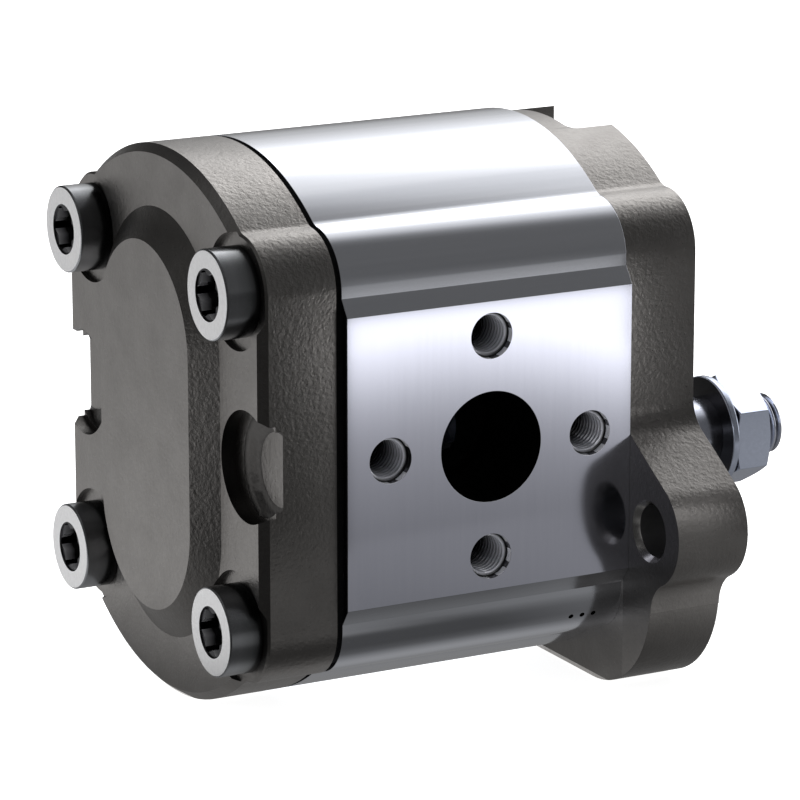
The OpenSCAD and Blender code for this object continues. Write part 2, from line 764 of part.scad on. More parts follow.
// Toothed ring, turned by the angle start
module gear_ring(start)
    along_x(body_mid_x - gear_width / 2) linear_extrude(gear_width)
        polygon([for (i = [0 : gear_teeth - 1]) for (p = tooth) turned(p, start + i * 360 / gear_teeth)]);

// Journals from the rear cover to the front cover
module journals(r) {
    first = rear_x + journal_short;
    last = front_x - journal_short;
    along_x(first) cylinder(h = journal_bevel, r1 = r - journal_bevel, r2 = r);
    bar_x(first + journal_bevel, r, last - first - 2 * journal_bevel);
    along_x(last - journal_bevel) cylinder(h = journal_bevel, r1 = r, r2 = r - journal_bevel);
}

module drive_gear() {
    key_slot_w = key_w + 2 * seat_gap;
    r = journal_d / 2;
    first_x = rear_x + journal_short;
    thread_r = thread_d / 2;
    color("#a8adb6") difference() {
        union() {
            gear_ring(90);
            along_x(0) rotate_extrude() polygon([
                [0, first_x], [r - journal_bevel, first_x], [r, first_x + journal_bevel],
                [r, taper_start], [taper_end_d / 2, taper_end_x], [relief_r, taper_end_x],
                [relief_r, taper_end_x + relief_len], [thread_r, taper_end_x + relief_len + thread_bevel],
                [thread_r, thread_end_x - 3 * thread_bevel], [thread_r - thread_bevel, thread_end_x],
                [0, thread_end_x]]);
        }
        translate([key_x, key_axis_y, -key_slot_w / 2]) cylinder(h = key_slot_w, r = key_d / 2 + seat_gap);
    }
}

module driven_gear() color("#a8adb6") translate([0, 0, gear_centres]) {
    gear_ring(270 + 180 / gear_teeth);
    journals(journal_d / 2);
}

module woodruff_key() color("#8f9296") intersection() {
    translate([key_x, key_axis_y, -key_w / 2]) cylinder(h = key_w, d = key_d);
    translate([key_x - key_d, key_top - key_h - cut, -key_w]) cube([2 * key_d, key_h + cut, 2 * key_w]);
}

module shaft_washer() {
    edge = 0.2;
    color("#b4b8be") difference() {
        union() {
            along_x(taper_end_x) cylinder(h = edge, d1 = washer_d - 2 * edge, d2 = washer_d);
            bar_x(taper_end_x + edge, washer_d / 2, washer_t - 2 * edge);
            along_x(nut_x - edge) cylinder(h = edge, d1 = washer_d, d2 = washer_d - 2 * edge);
        }
        bar_x(taper_end_x - cut, washer_hole_r, washer_t + 2 * cut);
    }
}

// Hexagon nut with both ends bevelled, one flat towards -Y
module shaft_nut()
    color("#a3a8b4") difference() {
        intersection() {
            along_x(nut_x) rotate(30) cylinder(h = nut_t, r = nut_corner_r, $fn = 6);
            along_x(nut_x) rotate_extrude() polygon([[0, 0], [nut_face_r, 0],
                [nut_face_r + nut_t / 2 / tan(nut_bevel_angle), nut_t / 2], [nut_face_r, nut_t], [0, nut_t]]);
        }
        bar_x(nut_x - cut, thread_d / 2 + seat_gap, nut_t + 2 * cut);
    }

pump_body();
front_cover();
rear_cover();
cover_screws();
front_dowels();
rear_dowels();
front_bearing_block();
rear_bearing_block();
front_drive_bush();
rear_drive_bush();
front_driven_bush();
rear_driven_bush();
front_joint_seal();
rear_joint_seal();
front_block_seal();
rear_block_seal();
front_backup_ring();
rear_backup_ring();
shaft_seal_case();
shaft_seal_lip();
shaft_seal_spring();
seal_keeper_ring();
drive_gear();
driven_gear();
woodruff_key();
shaft_washer();
shaft_nut();
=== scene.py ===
"""An external gear pump: extruded aluminium body between two cast covers, ready to mount.

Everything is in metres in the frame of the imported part: +X runs out along the shaft, the suction port
faces -Y, and the driven gear lies above at +Z.
"""
import math

import bmesh
import bpy
import numpy as np
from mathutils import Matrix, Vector


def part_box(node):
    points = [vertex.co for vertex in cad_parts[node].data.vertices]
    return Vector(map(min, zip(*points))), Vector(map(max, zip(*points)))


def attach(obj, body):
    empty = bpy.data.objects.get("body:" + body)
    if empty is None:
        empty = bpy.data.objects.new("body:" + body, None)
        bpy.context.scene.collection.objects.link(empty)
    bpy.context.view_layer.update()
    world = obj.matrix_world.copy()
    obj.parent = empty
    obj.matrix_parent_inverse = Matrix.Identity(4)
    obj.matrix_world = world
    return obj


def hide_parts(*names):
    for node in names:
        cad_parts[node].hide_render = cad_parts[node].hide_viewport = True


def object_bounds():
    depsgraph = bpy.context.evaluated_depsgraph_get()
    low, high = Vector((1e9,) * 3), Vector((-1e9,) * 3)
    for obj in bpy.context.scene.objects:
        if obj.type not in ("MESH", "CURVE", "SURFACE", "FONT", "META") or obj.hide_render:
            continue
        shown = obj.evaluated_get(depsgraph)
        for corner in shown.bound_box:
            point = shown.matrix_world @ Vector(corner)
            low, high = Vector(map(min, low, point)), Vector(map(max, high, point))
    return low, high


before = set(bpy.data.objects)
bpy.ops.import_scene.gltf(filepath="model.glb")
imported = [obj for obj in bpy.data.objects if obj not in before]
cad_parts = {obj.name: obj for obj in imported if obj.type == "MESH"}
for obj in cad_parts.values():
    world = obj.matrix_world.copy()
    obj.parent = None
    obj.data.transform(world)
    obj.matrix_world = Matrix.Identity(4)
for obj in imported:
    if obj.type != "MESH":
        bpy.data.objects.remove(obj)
cad_low, cad_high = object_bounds()

MM = 0.001
TOUCH = 0.01 * MM  # nearer than this, two places are the same

# Places along the shaft and up the pump, read from the frame
body_low, body_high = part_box("pump_body")
REAR_X = body_low.x
FRONT_X = body_high.x
BODY_MID_X = (REAR_X + FRONT_X) / 2
MIDDLE_Z = (body_low.z + body_high.z) / 2
PAD_Y = body_high.y

# The body's outline, about the middle of the body
BODY_R = (body_high.z - body_low.z) / 2
BODY_SIDE = 40.1 * MM
LOBE_R = 10 * MM
LOBE_FILLET = 4 * MM
SCREW_Y = 30.1 * MM
SCREW_Z = 30.15 * MM
SCREW_R = 5 * MM
SCREW_HEAD_R = 8 * MM
SCREW_HEAD_H = 6.3 * MM
RIM_WIDTH = 0.4 * MM
RIM_DEPTH = 0.35 * MM
SOCKET_R = 4.45 * MM
SOCKET_DEPTH = 4 * MM
FLUTE_DEPTH = 1.05 * MM
PAD_HALF = 26.2 * MM
PAD_SLOPE = 3 * MM

# The mounting holes in the front cover's ears, and its outer edges
EAR_HOLE_R = 4.7 * MM
EAR_HOLE_Y = 49.1 * MM
EAR_DROP = 1.6 * MM
CAST_ROUND = 0.8 * MM

# Thread of the shaft end
THREAD_START = 29.8 * MM
THREAD_ROOT = 5.1 * MM
THREAD_CREST = 5.97 * MM
THREAD_PITCH = 1.5 * MM

# The rear cover: its plate without the boss, the groove at its joint, and the notches in its sides
REAR_PLATE = 15.5 * MM
JOINT_GROOVE = 1.1 * MM
NOTCH_R = 10 * MM
NOTCH_Y = 34.3 * MM

# Bores in the body
CHAMBER_R = 18.747 * MM
GEAR_CENTRES = 32 * MM
SCREW_HOLE_R = 5.25 * MM
DOWEL_R = 2.52 * MM
DOWEL_Y = 34 * MM
DOWEL_Z = 13 * MM
DOWEL_HALF = 6 * MM
PORT_DEPTH = 20 * MM
PORT_END_Y = 8 * MM
THROAT_STEP = 0.8 * MM
TAP_DEPTH = 15 * MM
TAP_PITCH = 1 * MM
MOUTH_DEPTH = 1.3 * MM
MARK_R = 0.5 * MM
MARK_DEPTH = 0.6 * MM
MARK_STEP = 2.3 * MM
MARK_INSET = 5.4 * MM
MARK_SLOPE = math.radians(27)

# The two ports: suction at -Y and pressure at +Y, each with four tapped holes on its pitch circle
PORTS = [
    {"side": -1, "bore_r": 10 * MM, "pcd": 40 * MM, "drill_r": 3.4 * MM, "thread_r": 4 * MM},
    {"side": 1, "bore_r": 7.5 * MM, "pcd": 35 * MM, "drill_r": 2.5 * MM, "thread_r": 3 * MM},
]
PORT_FIELD = 25 * MM


def material(name):
    """An empty node material with a Principled shader, returned with its node tree and shader."""
    made = bpy.data.materials.new(name)
    made.use_nodes = True
    tree = made.node_tree
    return made, tree, tree.nodes["Principled BSDF"]


def add(tree, kind, **settings):
    """A node of that kind; settings whose names are sockets set the sockets, others set the node itself."""
    node = tree.nodes.new(kind)
    for key, value in settings.items():
        if hasattr(node, key):
            setattr(node, key, value)
        else:
            node.inputs[key.replace("_", " ")].default_value = value
    return node


def object_place(tree, scale):
    """The piece's own coordinates times scale, which may differ from axis to axis."""
    coordinates = add(tree, "ShaderNodeTexCoord")
    mapping = add(tree, "ShaderNodeMapping", Scale=scale)
    tree.links.new(coordinates.outputs["Object"], mapping.inputs["Vector"])
    return mapping.outputs["Vector"]


def object_axis(tree, axis, start, end):
    """The piece's own coordinate along that axis, from 0 at start to 1 at end, both in mm."""
    coordinates = add(tree, "ShaderNodeTexCoord")
    split = add(tree, "ShaderNodeSeparateXYZ")
    tree.links.new(coordinates.outputs["Object"], split.inputs["Vector"])
    part = add(tree, "ShaderNodeMapRange", From_Min=start * MM, From_Max=end * MM)
    tree.links.new(split.outputs[axis], part.inputs["Value"])
    return part.outputs["Result"]


def noise(tree, scale, detail=3.0, roughness=0.55):
    """Noise over the piece's own coordinates, with scale in cells per metre on each axis."""
    node = add(tree, "ShaderNodeTexNoise", Scale=1.0, Detail=detail, Roughness=roughness)
    tree.links.new(object_place(tree, scale), node.inputs["Vector"])
    return node.outputs["Fac"]


def ramp(tree, fac, stops):
    """A colour ramp through (place, grey or colour) stops."""
    node = add(tree, "ShaderNodeValToRGB")
    elements = node.color_ramp.elements
    while len(elements) < len(stops):
        elements.new(0.5)
    for element, (place, colour) in zip(elements, stops):
        element.position = place
        value = colour if isinstance(colour, tuple) else (colour,) * 3
        element.color = (*value, 1)
    tree.links.new(fac, node.inputs["Fac"])
    return node.outputs["Color"]


def bump(tree, height, distance, strength=1.0, under=None):
    """Bump of that height in metres, on top of another bump if one is given."""
    node = add(tree, "ShaderNodeBump", Strength=strength, Distance=distance)
    tree.links.new(height, node.inputs["Height"])
    if under is not None:
        tree.links.new(under, node.inputs["Normal"])
    return node.outputs["Normal"]


# Cast iron goes from pale to dark in patches. Over that, each cover's colour is painted lighter or darker by
# height, as painted light and shade, and the backs of the ears darker towards the top as painted shade:
# (height in mm, factor)
CAST_PALE = (0.345, 0.331, 0.320)
CAST_DARK = (0.300, 0.287, 0.277)
FRONT_PAINTED_LIGHT_TONES = [(-34, 0.78), (-24, 0.88), (-19, 1.3), (-14, 1.8), (-11, 1.15), (-7, 0.9), (0, 0.7), (10, 0.68),
               (17, 0.5), (30, 0.68), (42, 0.86), (49, 0.72), (52, 0.74), (55, 1.15), (58, 1.1), (66, 1.05)]
REAR_PAINTED_LIGHT_TONES = [(-34, 1.2), (-27, 1.1), (-12, 0.82), (20, 0.96), (46, 0.95), (52, 0.85), (57, 1.15), (62, 1.5),
              (66, 1.0)]
EAR_PAINTED_SHADE_TONES = [(-19, 1.0), (-8, 0.4)]


def extruded_aluminium():
    """Bright aluminium with fine die lines along X."""
    made, tree, shader = material("extruded_aluminium")
    shader.inputs["Metallic"].default_value = 1
    lines = noise(tree, (12, 1500, 1500), 4)
    broad = noise(tree, (4, 260, 260), 2)
    tree.links.new(ramp(tree, broad, [(0.3, (0.71, 0.73, 0.79)), (0.7, (0.80, 0.82, 0.88))]),
                   shader.inputs["Base Color"])
    tree.links.new(ramp(tree, lines, [(0.3, 0.11), (0.7, 0.16)]), shader.inputs["Roughness"])
    fine = bump(tree, lines, 0.001 * MM)
    tree.links.new(bump(tree, broad, 0.004 * MM, under=fine), shader.inputs["Normal"])
    return made


def milled_aluminium():
    """Port face: milled flat, with very faint tool marks in its gloss."""
    made, tree, shader = material("milled_aluminium")
    shader.inputs["Metallic"].default_value = 1
    marks = noise(tree, (1200, 1200, 60), 3)
    tree.links.new(ramp(tree, marks, [(0.3, (0.745, 0.76, 0.875)), (0.7, (0.765, 0.78, 0.895))]),
                   shader.inputs["Base Color"])
    tree.links.new(ramp(tree, marks, [(0.3, 0.130), (0.7, 0.145)]), shader.inputs["Roughness"])
    return made


def cast_iron(name, grain_height, wrinkle_height, shade_tone=1.0, painted_shading_tones=()):
    """Dark brown-grey casting, tumbled clean. Its sand grain and the wrinkles of its skin have those
    heights in mm. A shade_tone below 1 darkens it as painted shade, and painted_shading_tones are (height in
    mm, factor) stops of painted light and shade by height."""
    made, tree, shader = material(name)
    shader.inputs["Metallic"].default_value = 1
    grain = noise(tree, (1700, 1700, 1700), 4, 0.6)
    wrinkles = noise(tree, (1050, 1050, 1050), 2, 0.5)
    patches = noise(tree, (160, 160, 160), 3)
    dark, pale = (tuple(part * shade_tone for part in colour) for colour in (CAST_DARK, CAST_PALE))
    colour = ramp(tree, patches, [(0.3, dark), (0.7, pale)])
    if painted_shading_tones:
        start, end = painted_shading_tones[0][0], painted_shading_tones[-1][0]
        stops = [((height - start) / (end - start), level) for height, level in painted_shading_tones]
        both = add(tree, "ShaderNodeVectorMath", operation="MULTIPLY")
        tree.links.new(colour, both.inputs[0])
        tree.links.new(ramp(tree, object_axis(tree, "Z", start, end), stops), both.inputs[1])
        colour = both.outputs["Vector"]
    tree.links.new(colour, shader.inputs["Base Color"])
    tree.links.new(ramp(tree, grain, [(0.3, 0.27), (0.7, 0.37)]), shader.inputs["Roughness"])
    coarse = bump(tree, wrinkles, wrinkle_height * MM)
    tree.links.new(bump(tree, grain, grain_height * MM, under=coarse), shader.inputs["Normal"])
    return made


def plain(name, colour, metallic, roughness, scale=900, grain=0.006):
    """A plain finish with slight mottling of colour and roughness, and a fine grain of that height in mm."""
    made, tree, shader = material(name)
    shader.inputs["Metallic"].default_value = metallic
    fac = noise(tree, (scale, scale, scale), 4)
    low = tuple(c * 0.9 for c in colour)
    tree.links.new(ramp(tree, fac, [(0.3, low), (0.7, colour)]), shader.inputs["Base Color"])
    tree.links.new(ramp(tree, fac, [(0.3, roughness * 0.88), (0.7, roughness * 1.12)]),
                   shader.inputs["Roughness"])
    tree.links.new(bump(tree, fac, grain * MM), shader.inputs["Normal"])
    return made


def steel_with_painted_shade(name, start, end, metallic, stops):
    """Steel of the screw heads with painted shade: its colour changes by the distance in from their end
    faces, from start to end in mm, painted darker as less light gets in there."""
    made, tree, shader = material(name)
    shader.inputs["Metallic"].default_value = metallic
    shader.inputs["Roughness"].default_value = 0.24
    head_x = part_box("cover_screws")[0].x / MM
    depth = object_axis(tree, "X", head_x + start, head_x + end)
    tree.links.new(ramp(tree, depth, stops), shader.inputs["Base Color"])
    return made


def thread_painted_light(name, root, crest, metallic, roughness):
    """A thread with painted light and shade: its colour goes from a dark root to a light crest by the
    attribute that helix_shell gives it.
    """
    made, tree, shader = material(name)
    shader.inputs["Metallic"].default_value = metallic
    shader.inputs["Roughness"].default_value = roughness
    height = add(tree, "ShaderNodeAttribute", attribute_name="crest")
    colour = ramp(tree, height.outputs["Fac"], [(0.15, root), (0.8, crest)])
    tree.links.new(colour, shader.inputs["Base Color"])
    return made


# Every finish by its use. cast_iron takes the heights of grain and wrinkles in mm; plain takes colour,
# metallic, roughness and, where they differ from the usual, the scale and height of its grain.
FINISH = {
    "extruded": extruded_aluminium(),
    "milled": milled_aluminium(),
    "cast_front_painted_light": cast_iron("cast_iron_front_painted_light", 0.06, 0.075, painted_shading_tones=FRONT_PAINTED_LIGHT_TONES),
    "cast_rear_painted_light": cast_iron("cast_iron_rear_painted_light", 0.06, 0.075, painted_shading_tones=REAR_PAINTED_LIGHT_TONES),
    "cast_fine": cast_iron("cast_iron_fine", 0.05, 0.05),
    # Painted shade: cast iron at a third of its colour, for seat walls, notch slopes and the far half of each
    # ear hole's bevel
    "cast_painted_shade": cast_iron("cast_iron_painted_shade", 0.025, 0.04, 0.35),
    "cast_shaded": cast_iron("cast_iron_shaded", 0.05, 0.05, painted_shading_tones=EAR_PAINTED_SHADE_TONES),
    # Painted shade: near black inside the bores, tapped holes, gear chamber and marks
    "bore_painted_shade": plain("bore_painted_shade", (0.004, 0.004, 0.004), 1.0, 0.7),
    # Painted shade: near black in the rear joint groove and on the pad's rear ends
    "joint_painted_shade": plain("joint_painted_shade", (0.003, 0.003, 0.003), 0.0, 0.6),
    "bore_shade": plain("bore_shade", (0.05, 0.05, 0.052), 0.6, 0.5),
    "machined_edge": plain("machined_edge", (0.44, 0.43, 0.42), 1.0, 0.22),
    "black_steel": plain("black_steel", (0.34, 0.35, 0.37), 1.0, 0.24, 1500, 0.001),
    # Painted shade: the barrels darken towards the cover
    "barrel_steel_painted_shade": steel_with_painted_shade("barrel_steel_painted_shade", 2.0, 6.2, 1.0, [
        (0, (0.40, 0.41, 0.43)), (0.5, (0.28, 0.29, 0.30)), (1, (0.03, 0.03, 0.032))]),
    # Painted light on the socket walls near the mouth, fading to painted shade deeper in
    "socket_painted_light": steel_with_painted_shade("socket_painted_light", 0.3, 2.4, 0.3, [
        (0, (0.30, 0.30, 0.31)), (0.45, (0.20, 0.20, 0.21)), (1, (0.01, 0.01, 0.01))]),
    # Painted shade: near-black steel for the screw sockets and the washer's flat faces
    "painted_shade_steel": plain("painted_shade_steel", (0.05, 0.05, 0.055), 1.0, 0.24, 1500, 0.001),
    "turned_end": plain("turned_end", (0.97, 0.97, 0.98), 0.8, 0.33, 1500, 0.001),
    # Painted reflection: dark mouth walls of the tapped holes with light sectors round them
    "mouth_painted_highlight": plain("mouth_painted_highlight", (0.88, 0.89, 0.96), 0.35, 0.25, 1500, 0.0),
    "mouth_painted_shade": plain("mouth_painted_shade", (0.16, 0.16, 0.18), 0.6, 0.25, 1500, 0.0),
    # Painted light and shade: thread roots dark and crests light
    "tapped": thread_painted_light("tapped_aluminium_painted_light", (0.01, 0.01, 0.011), (0.82, 0.83, 0.90), 0.4, 0.35),
    "ground_steel": plain("ground_steel", (0.64, 0.67, 0.78), 1.0, 0.20, 1500, 0.001),
    "thread_painted_light": thread_painted_light("thread_painted_light", (0.24, 0.25, 0.29), (0.74, 0.77, 0.88), 1.0, 0.26),
    "zinc": plain("zinc", (0.70, 0.76, 0.92), 1.0, 0.22, 1500, 0.001),
    "block": plain("block_aluminium", (0.62, 0.63, 0.65), 1.0, 0.4),
    "bronze": plain("bush_bronze", (0.55, 0.36, 0.20), 1.0, 0.4),
    "rubber": plain("black_rubber", (0.012, 0.012, 0.012), 0.0, 0.55),
    "white_plastic": plain("backup_plastic", (0.72, 0.69, 0.60), 0.0, 0.45),
    "seal_case": plain("seal_case", (0.02, 0.02, 0.022), 0.2, 0.4),
}


def link(name, mesh):
    """A new object with that mesh, in the scene."""
    made = bpy.data.objects.new(name, mesh)
    bpy.context.scene.collection.objects.link(made)
    return made


def grid_mesh(name, points, wrap_u=False, wrap_v=False):
    """A mesh from a grid of points, points[i, j] = P(u_i, v_j), with quads between neighbours.
    wrap_u and wrap_v join the last row or column back to the first."""
    nu, nv = points.shape[:2]
    iu = np.arange(nu if wrap_u else nu - 1)
    iv = np.arange(nv if wrap_v else nv - 1)
    a, b = np.meshgrid(iu, iv, indexing="ij")
    a2, b2 = (a + 1) % nu, (b + 1) % nv
    quads = np.stack([a * nv + b, a2 * nv + b, a2 * nv + b2, a * nv + b2], axis=-1).reshape(-1, 4)
    mesh = bpy.data.meshes.new(name)
    mesh.from_pydata(points.reshape(-1, 3), [], quads)
    return mesh


def arc(centre, r, start, end, step=2.0):
    """Points on a circle of radius r from angle start to end, in degrees: centre + r (cos a, sin a)."""
    count = max(2, int(abs(end - start) / step) + 1)
    a = np.radians(np.linspace(start, end, count))
    return np.stack([centre[0] + r * np.cos(a), centre[1] + r * np.sin(a)], axis=1)


def four_way(quarter):
    """A closed outline from its first quarter, which runs from the top round to the side.
    The quarter is mirrored in both axes."""
    right = np.concatenate([quarter, quarter[::-1] * [1, -1]])
    whole = np.concatenate([right, right[::-1] * [-1, 1]])
    keep = np.linalg.norm(whole - np.roll(whole, 1, axis=0), axis=1) > 1e-7
    return whole[keep]


def lobed_quarter(top_r, side_end):
    """The round top, the hollow, the lobe about the screw and then the points of side_end."""
    lobe = np.array([SCREW_Y, SCREW_Z])
    span = np.linalg.norm(lobe)
    near, far = top_r + LOBE_FILLET, LOBE_R + LOBE_FILLET
    along = (near ** 2 - far ** 2 + span ** 2) / (2 * span)
    aside = math.sqrt(near ** 2 - along ** 2)
    unit = lobe / span
    hollow = unit * along + np.array([-unit[1], unit[0]]) * aside
    top_angle = math.degrees(math.atan2(hollow[1], hollow[0]))
    to_lobe = math.degrees(math.atan2(*(lobe - hollow)[::-1]))
    return np.concatenate([
        arc((0, 0), top_r, 90, top_angle, 1.0),
        arc(hollow, LOBE_FILLET, top_angle - 180, to_lobe, 4)[1:],
        arc(lobe, LOBE_R, to_lobe + 180, 0, 2)[1:],
        side_end,
    ])


def twice_area(points):
    """Twice the area of a closed outline, below 0 where it runs clockwise."""
    after = np.roll(points, -1, axis=0)
    return float(np.sum(points[:, 0] * after[:, 1] - points[:, 1] * after[:, 0]))


def prism(name, outline, x0, x1):
    """A closed solid: the outline in Y and Z, about the middle of the body, carried from x0 to x1."""
    if twice_area(outline) < 0:
        outline = outline[::-1]
    count = len(outline)
    rings = np.empty((2, count, 3))
    rings[..., 1] = outline[:, 0]
    rings[..., 2] = outline[:, 1] + MIDDLE_Z
    rings[0, :, 0], rings[1, :, 0] = x0, x1
    near = np.arange(count)
    after = (near + 1) % count
    faces = np.stack([near, after, after + count, near + count], axis=1).tolist()
    faces += [near[::-1].tolist(), (near + count).tolist()]
    mesh = bpy.data.meshes.new(name)
    mesh.from_pydata(rings.reshape(-1, 3), [], faces)
    return link(name, mesh)


def turned(name, profile, place, axis, segments=96):
    """A closed solid of revolution. profile is (distance along the axis, radius) from end to end, and
    P = place + t axis + r (cos a u + sin a w), with u and w at right angles to the axis."""
    axis = Vector(axis).normalized()
    u = axis.orthogonal().normalized()
    w = axis.cross(u)
    profile = np.array(profile, float)
    a = np.linspace(0, 2 * np.pi, segments, endpoint=False)
    across = np.cos(a)[:, None] * np.array(u) + np.sin(a)[:, None] * np.array(w)
    points = (np.array(place) + profile[:, 0, None, None] * np.array(axis)
              + profile[:, 1, None, None] * across[None])
    mesh = grid_mesh(name, points, wrap_v=True)
    work = bmesh.new()
    work.from_mesh(mesh)
    work.verts.ensure_lookup_table()
    last = (len(profile) - 1) * segments
    work.faces.new([work.verts[i] for i in range(segments)])
    work.faces.new([work.verts[last + i] for i in range(segments)])
    bmesh.ops.remove_doubles(work, verts=work.verts, dist=1e-8)
    bmesh.ops.recalc_face_normals(work, faces=work.faces)
    work.to_mesh(mesh)
    work.free()
    return link(name, mesh)


def settled(obj):
    """Applies the modifiers of obj to its mesh."""
    graph = bpy.context.evaluated_depsgraph_get()
    mesh = bpy.data.meshes.new_from_object(obj.evaluated_get(graph))
    obj.modifiers.clear()
    obj.data = mesh
    return obj


def carved(obj, cutters):
    """obj without the space of the cutters, which are then deleted."""
    tools = bpy.data.collections.new("cutters")
    for cutter in cutters:
        bpy.context.scene.collection.objects.unlink(cutter)
        tools.objects.link(cutter)
    cut = obj.modifiers.new("carve", "BOOLEAN")
    cut.operation = "DIFFERENCE"
    cut.solver = "EXACT"
    cut.operand_type = "COLLECTION"
    cut.collection = tools
    settled(obj)
    for cutter in cutters:
        bpy.data.objects.remove(cutter)
    bpy.data.collections.remove(tools)
    return obj


def vertex_places(mesh):
    """The places of a mesh's vertices, one row each."""
    places = np.empty(len(mesh.vertices) * 3)
    mesh.vertices.foreach_get("co", places)
    return places.reshape(-1, 3)


def merged_copy(node, name, mend=None):
    """A copy of a CAD node with its loose triangles joined and its flat faces made whole. mend changes the
    places of its vertices first."""
    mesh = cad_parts[node].data.copy()
    mesh.name = name
    mesh.materials.clear()
    if mend:
        mesh.vertices.foreach_set("co", mend(vertex_places(mesh)).ravel())
    work = bmesh.new()
    work.from_mesh(mesh)
    bmesh.ops.remove_doubles(work, verts=work.verts, dist=1e-6)
    bmesh.ops.dissolve_limit(work, angle_limit=math.radians(0.15), verts=work.verts, edges=work.edges)
    work.to_mesh(mesh)
    work.free()
    return link(name, mesh)


def rounded(obj, edge_width, segments=3, sharp=28.0):
    """Rounds the sharp edges of obj. edge_width(middle of the edge) gives the width in metres."""
    work = bmesh.new()
    work.from_mesh(obj.data)
    layer = work.edges.layers.float.new("bevel_weight_edge")
    widths = {edge: edge_width((edge.verts[0].co + edge.verts[1].co) / 2) for edge in work.edges
              if len(edge.link_faces) == 2 and edge.calc_face_angle(0) > math.radians(sharp)}
    widest = max(widths.values())
    for edge, width in widths.items():
        edge[layer] = width / widest
    work.to_mesh(obj.data)
    work.free()
    soften = obj.modifiers.new("edges", "BEVEL")
    soften.width = widest
    soften.segments = segments
    soften.limit_method = "WEIGHT"
    soften.use_clamp_overlap = True
    soften.miter_outer = "MITER_ARC"
    return settled(obj)


def smooth(obj, sharp=28.0):
    """Smooth shading that keeps flat faces flat, with edges over that angle kept sharp."""
    obj.data.shade_smooth()
    obj.data.set_sharp_from_angle(angle=math.radians(sharp))
    weigh = obj.modifiers.new("normals", "WEIGHTED_NORMAL")
    weigh.mode = "FACE_AREA"
    weigh.weight = 100
    weigh.keep_sharp = True
    return settled(obj)


def paint(obj, first, rules=()):
    """Gives obj its finish, and other finishes to the faces that a rule picks by centre and normal."""
    obj.data.materials.clear()
    obj.data.materials.append(FINISH[first])
    for finish, _ in rules:
        obj.data.materials.append(FINISH[finish])
    for face in obj.data.polygons:
        face.material_index = 0
        for index, (_, rule) in enumerate(rules):
            if rule(face.center, face.normal):
                face.material_index = index + 1
    return obj


def bar_x(name, r, x0, x1, y, z, segments):
    """A plain round cutter or bar along X."""
    return turned(name, [(0, r), (x1 - x0, r)], (x0, y, z), (1, 0, 0), segments)


def tapped_mouth(name, place, axis, thread_r):
    """Cutter of a tapped hole that runs inwards along axis: a plain ring at its mouth, room for the thread
    and the cone of the drill."""
    ring_r = thread_r + 0.1 * MM
    room_r = thread_r + 0.02 * MM
    return turned(name, [(-MM, ring_r), (MOUTH_DEPTH, ring_r), (MOUTH_DEPTH, room_r),
                         (TAP_DEPTH, room_r), (TAP_DEPTH + thread_r * 0.5, 0.0002)], place, axis, 64)


def helix_shell(name, place, axis, length, inner, outer, pitch, lead_in, around=64, rows=9):
    """A closed ring with a thread on one wall. Along the axis at t and round it at a, the threaded wall lies
    at root + (crest - root) w, where w rises and falls once in each pitch of t / pitch - a / (2 pi). Over the
    first and last lead_in the crest is drawn in, to nothing in a nut thread and to half on a bolt. inner is
    (crest, root) for a nut thread, with outer its plain wall; for a bolt thread outer is (crest, root), and
    inner its plain wall. The attribute crest is w: the finish paints crests light and roots dark by it, as
    painted light and shade, and it fades down a hole as painted shade, as less light gets in there."""
    nut = isinstance(inner, tuple)
    crest, root = inner if nut else outer
    plain_r = outer if nut else inner
    axis = Vector(axis).normalized()
    u = axis.orthogonal().normalized()
    w = axis.cross(u)
    t = np.linspace(0, length, int(length / pitch * rows) + 1)[:, None]
    # Painted shade: in a nut thread the painted crests darken down the hole
    lit = 1 - 0.85 * np.clip(t / (9 * MM), 0, 1) if nut else np.ones_like(t)
    a = np.linspace(0, 2 * np.pi, around, endpoint=False)[None, :]
    phase = (t / pitch - a / (2 * np.pi)) % 1.0
    wave = np.clip((1.7 if nut else 1.25) * (1 - np.abs(2 * phase - 1)), 0, 1)
    fade = np.clip(np.minimum(t, length - t) / lead_in, 0, 1)
    if not nut:
        fade = 0.5 + 0.5 * fade
    wall = root + (crest - root) * wave * fade
    r = np.concatenate([wall, np.full((1, around), plain_r), np.full((1, around), plain_r)])
    t = np.concatenate([t, [[length]], [[0.0]]])
    points = (np.array(place) + t[..., None] * np.array(axis)
              + r[..., None] * (np.cos(a)[..., None] * np.array(u) + np.sin(a)[..., None] * np.array(w)))
    mesh = grid_mesh(name, points, wrap_u=True, wrap_v=True)
    light = np.concatenate([wave * fade * lit, np.zeros((2, around))])
    crests = mesh.attributes.new("crest", "FLOAT", "POINT")
    crests.data.foreach_set("value", np.ascontiguousarray(light, dtype=np.float32).ravel())
    work = bmesh.new()
    work.from_mesh(mesh)
    bmesh.ops.recalc_face_normals(work, faces=work.faces)
    work.to_mesh(mesh)
    work.free()
    mesh.shade_smooth()
    mesh.set_sharp_from_angle(angle=math.radians(50))
    return link(name, mesh)


def joined(name, pieces):
    """One object with the meshes of all the pieces, which are then deleted."""
    work = bmesh.new()
    for piece in pieces:
        work.from_mesh(piece.data)
        bpy.data.objects.remove(piece)
    mesh = bpy.data.meshes.new(name)
    work.to_mesh(mesh)
    work.free()
    return link(name, mesh)


def screw_places():
    """Y and Z of the four cover screws."""
    for y in (-SCREW_Y, SCREW_Y):
        for z in (-SCREW_Z, SCREW_Z):
            yield y, MIDDLE_Z + z


def port_holes(port):
    """Places of a port's four tapped holes, on the port face."""
    for x, z in ((1, 0), (-1, 0), (0, 1), (0, -1)):
        yield (BODY_MID_X + x * port["pcd"] / 2, port["side"] * PAD_Y, MIDDLE_Z + z * port["pcd"] / 2)


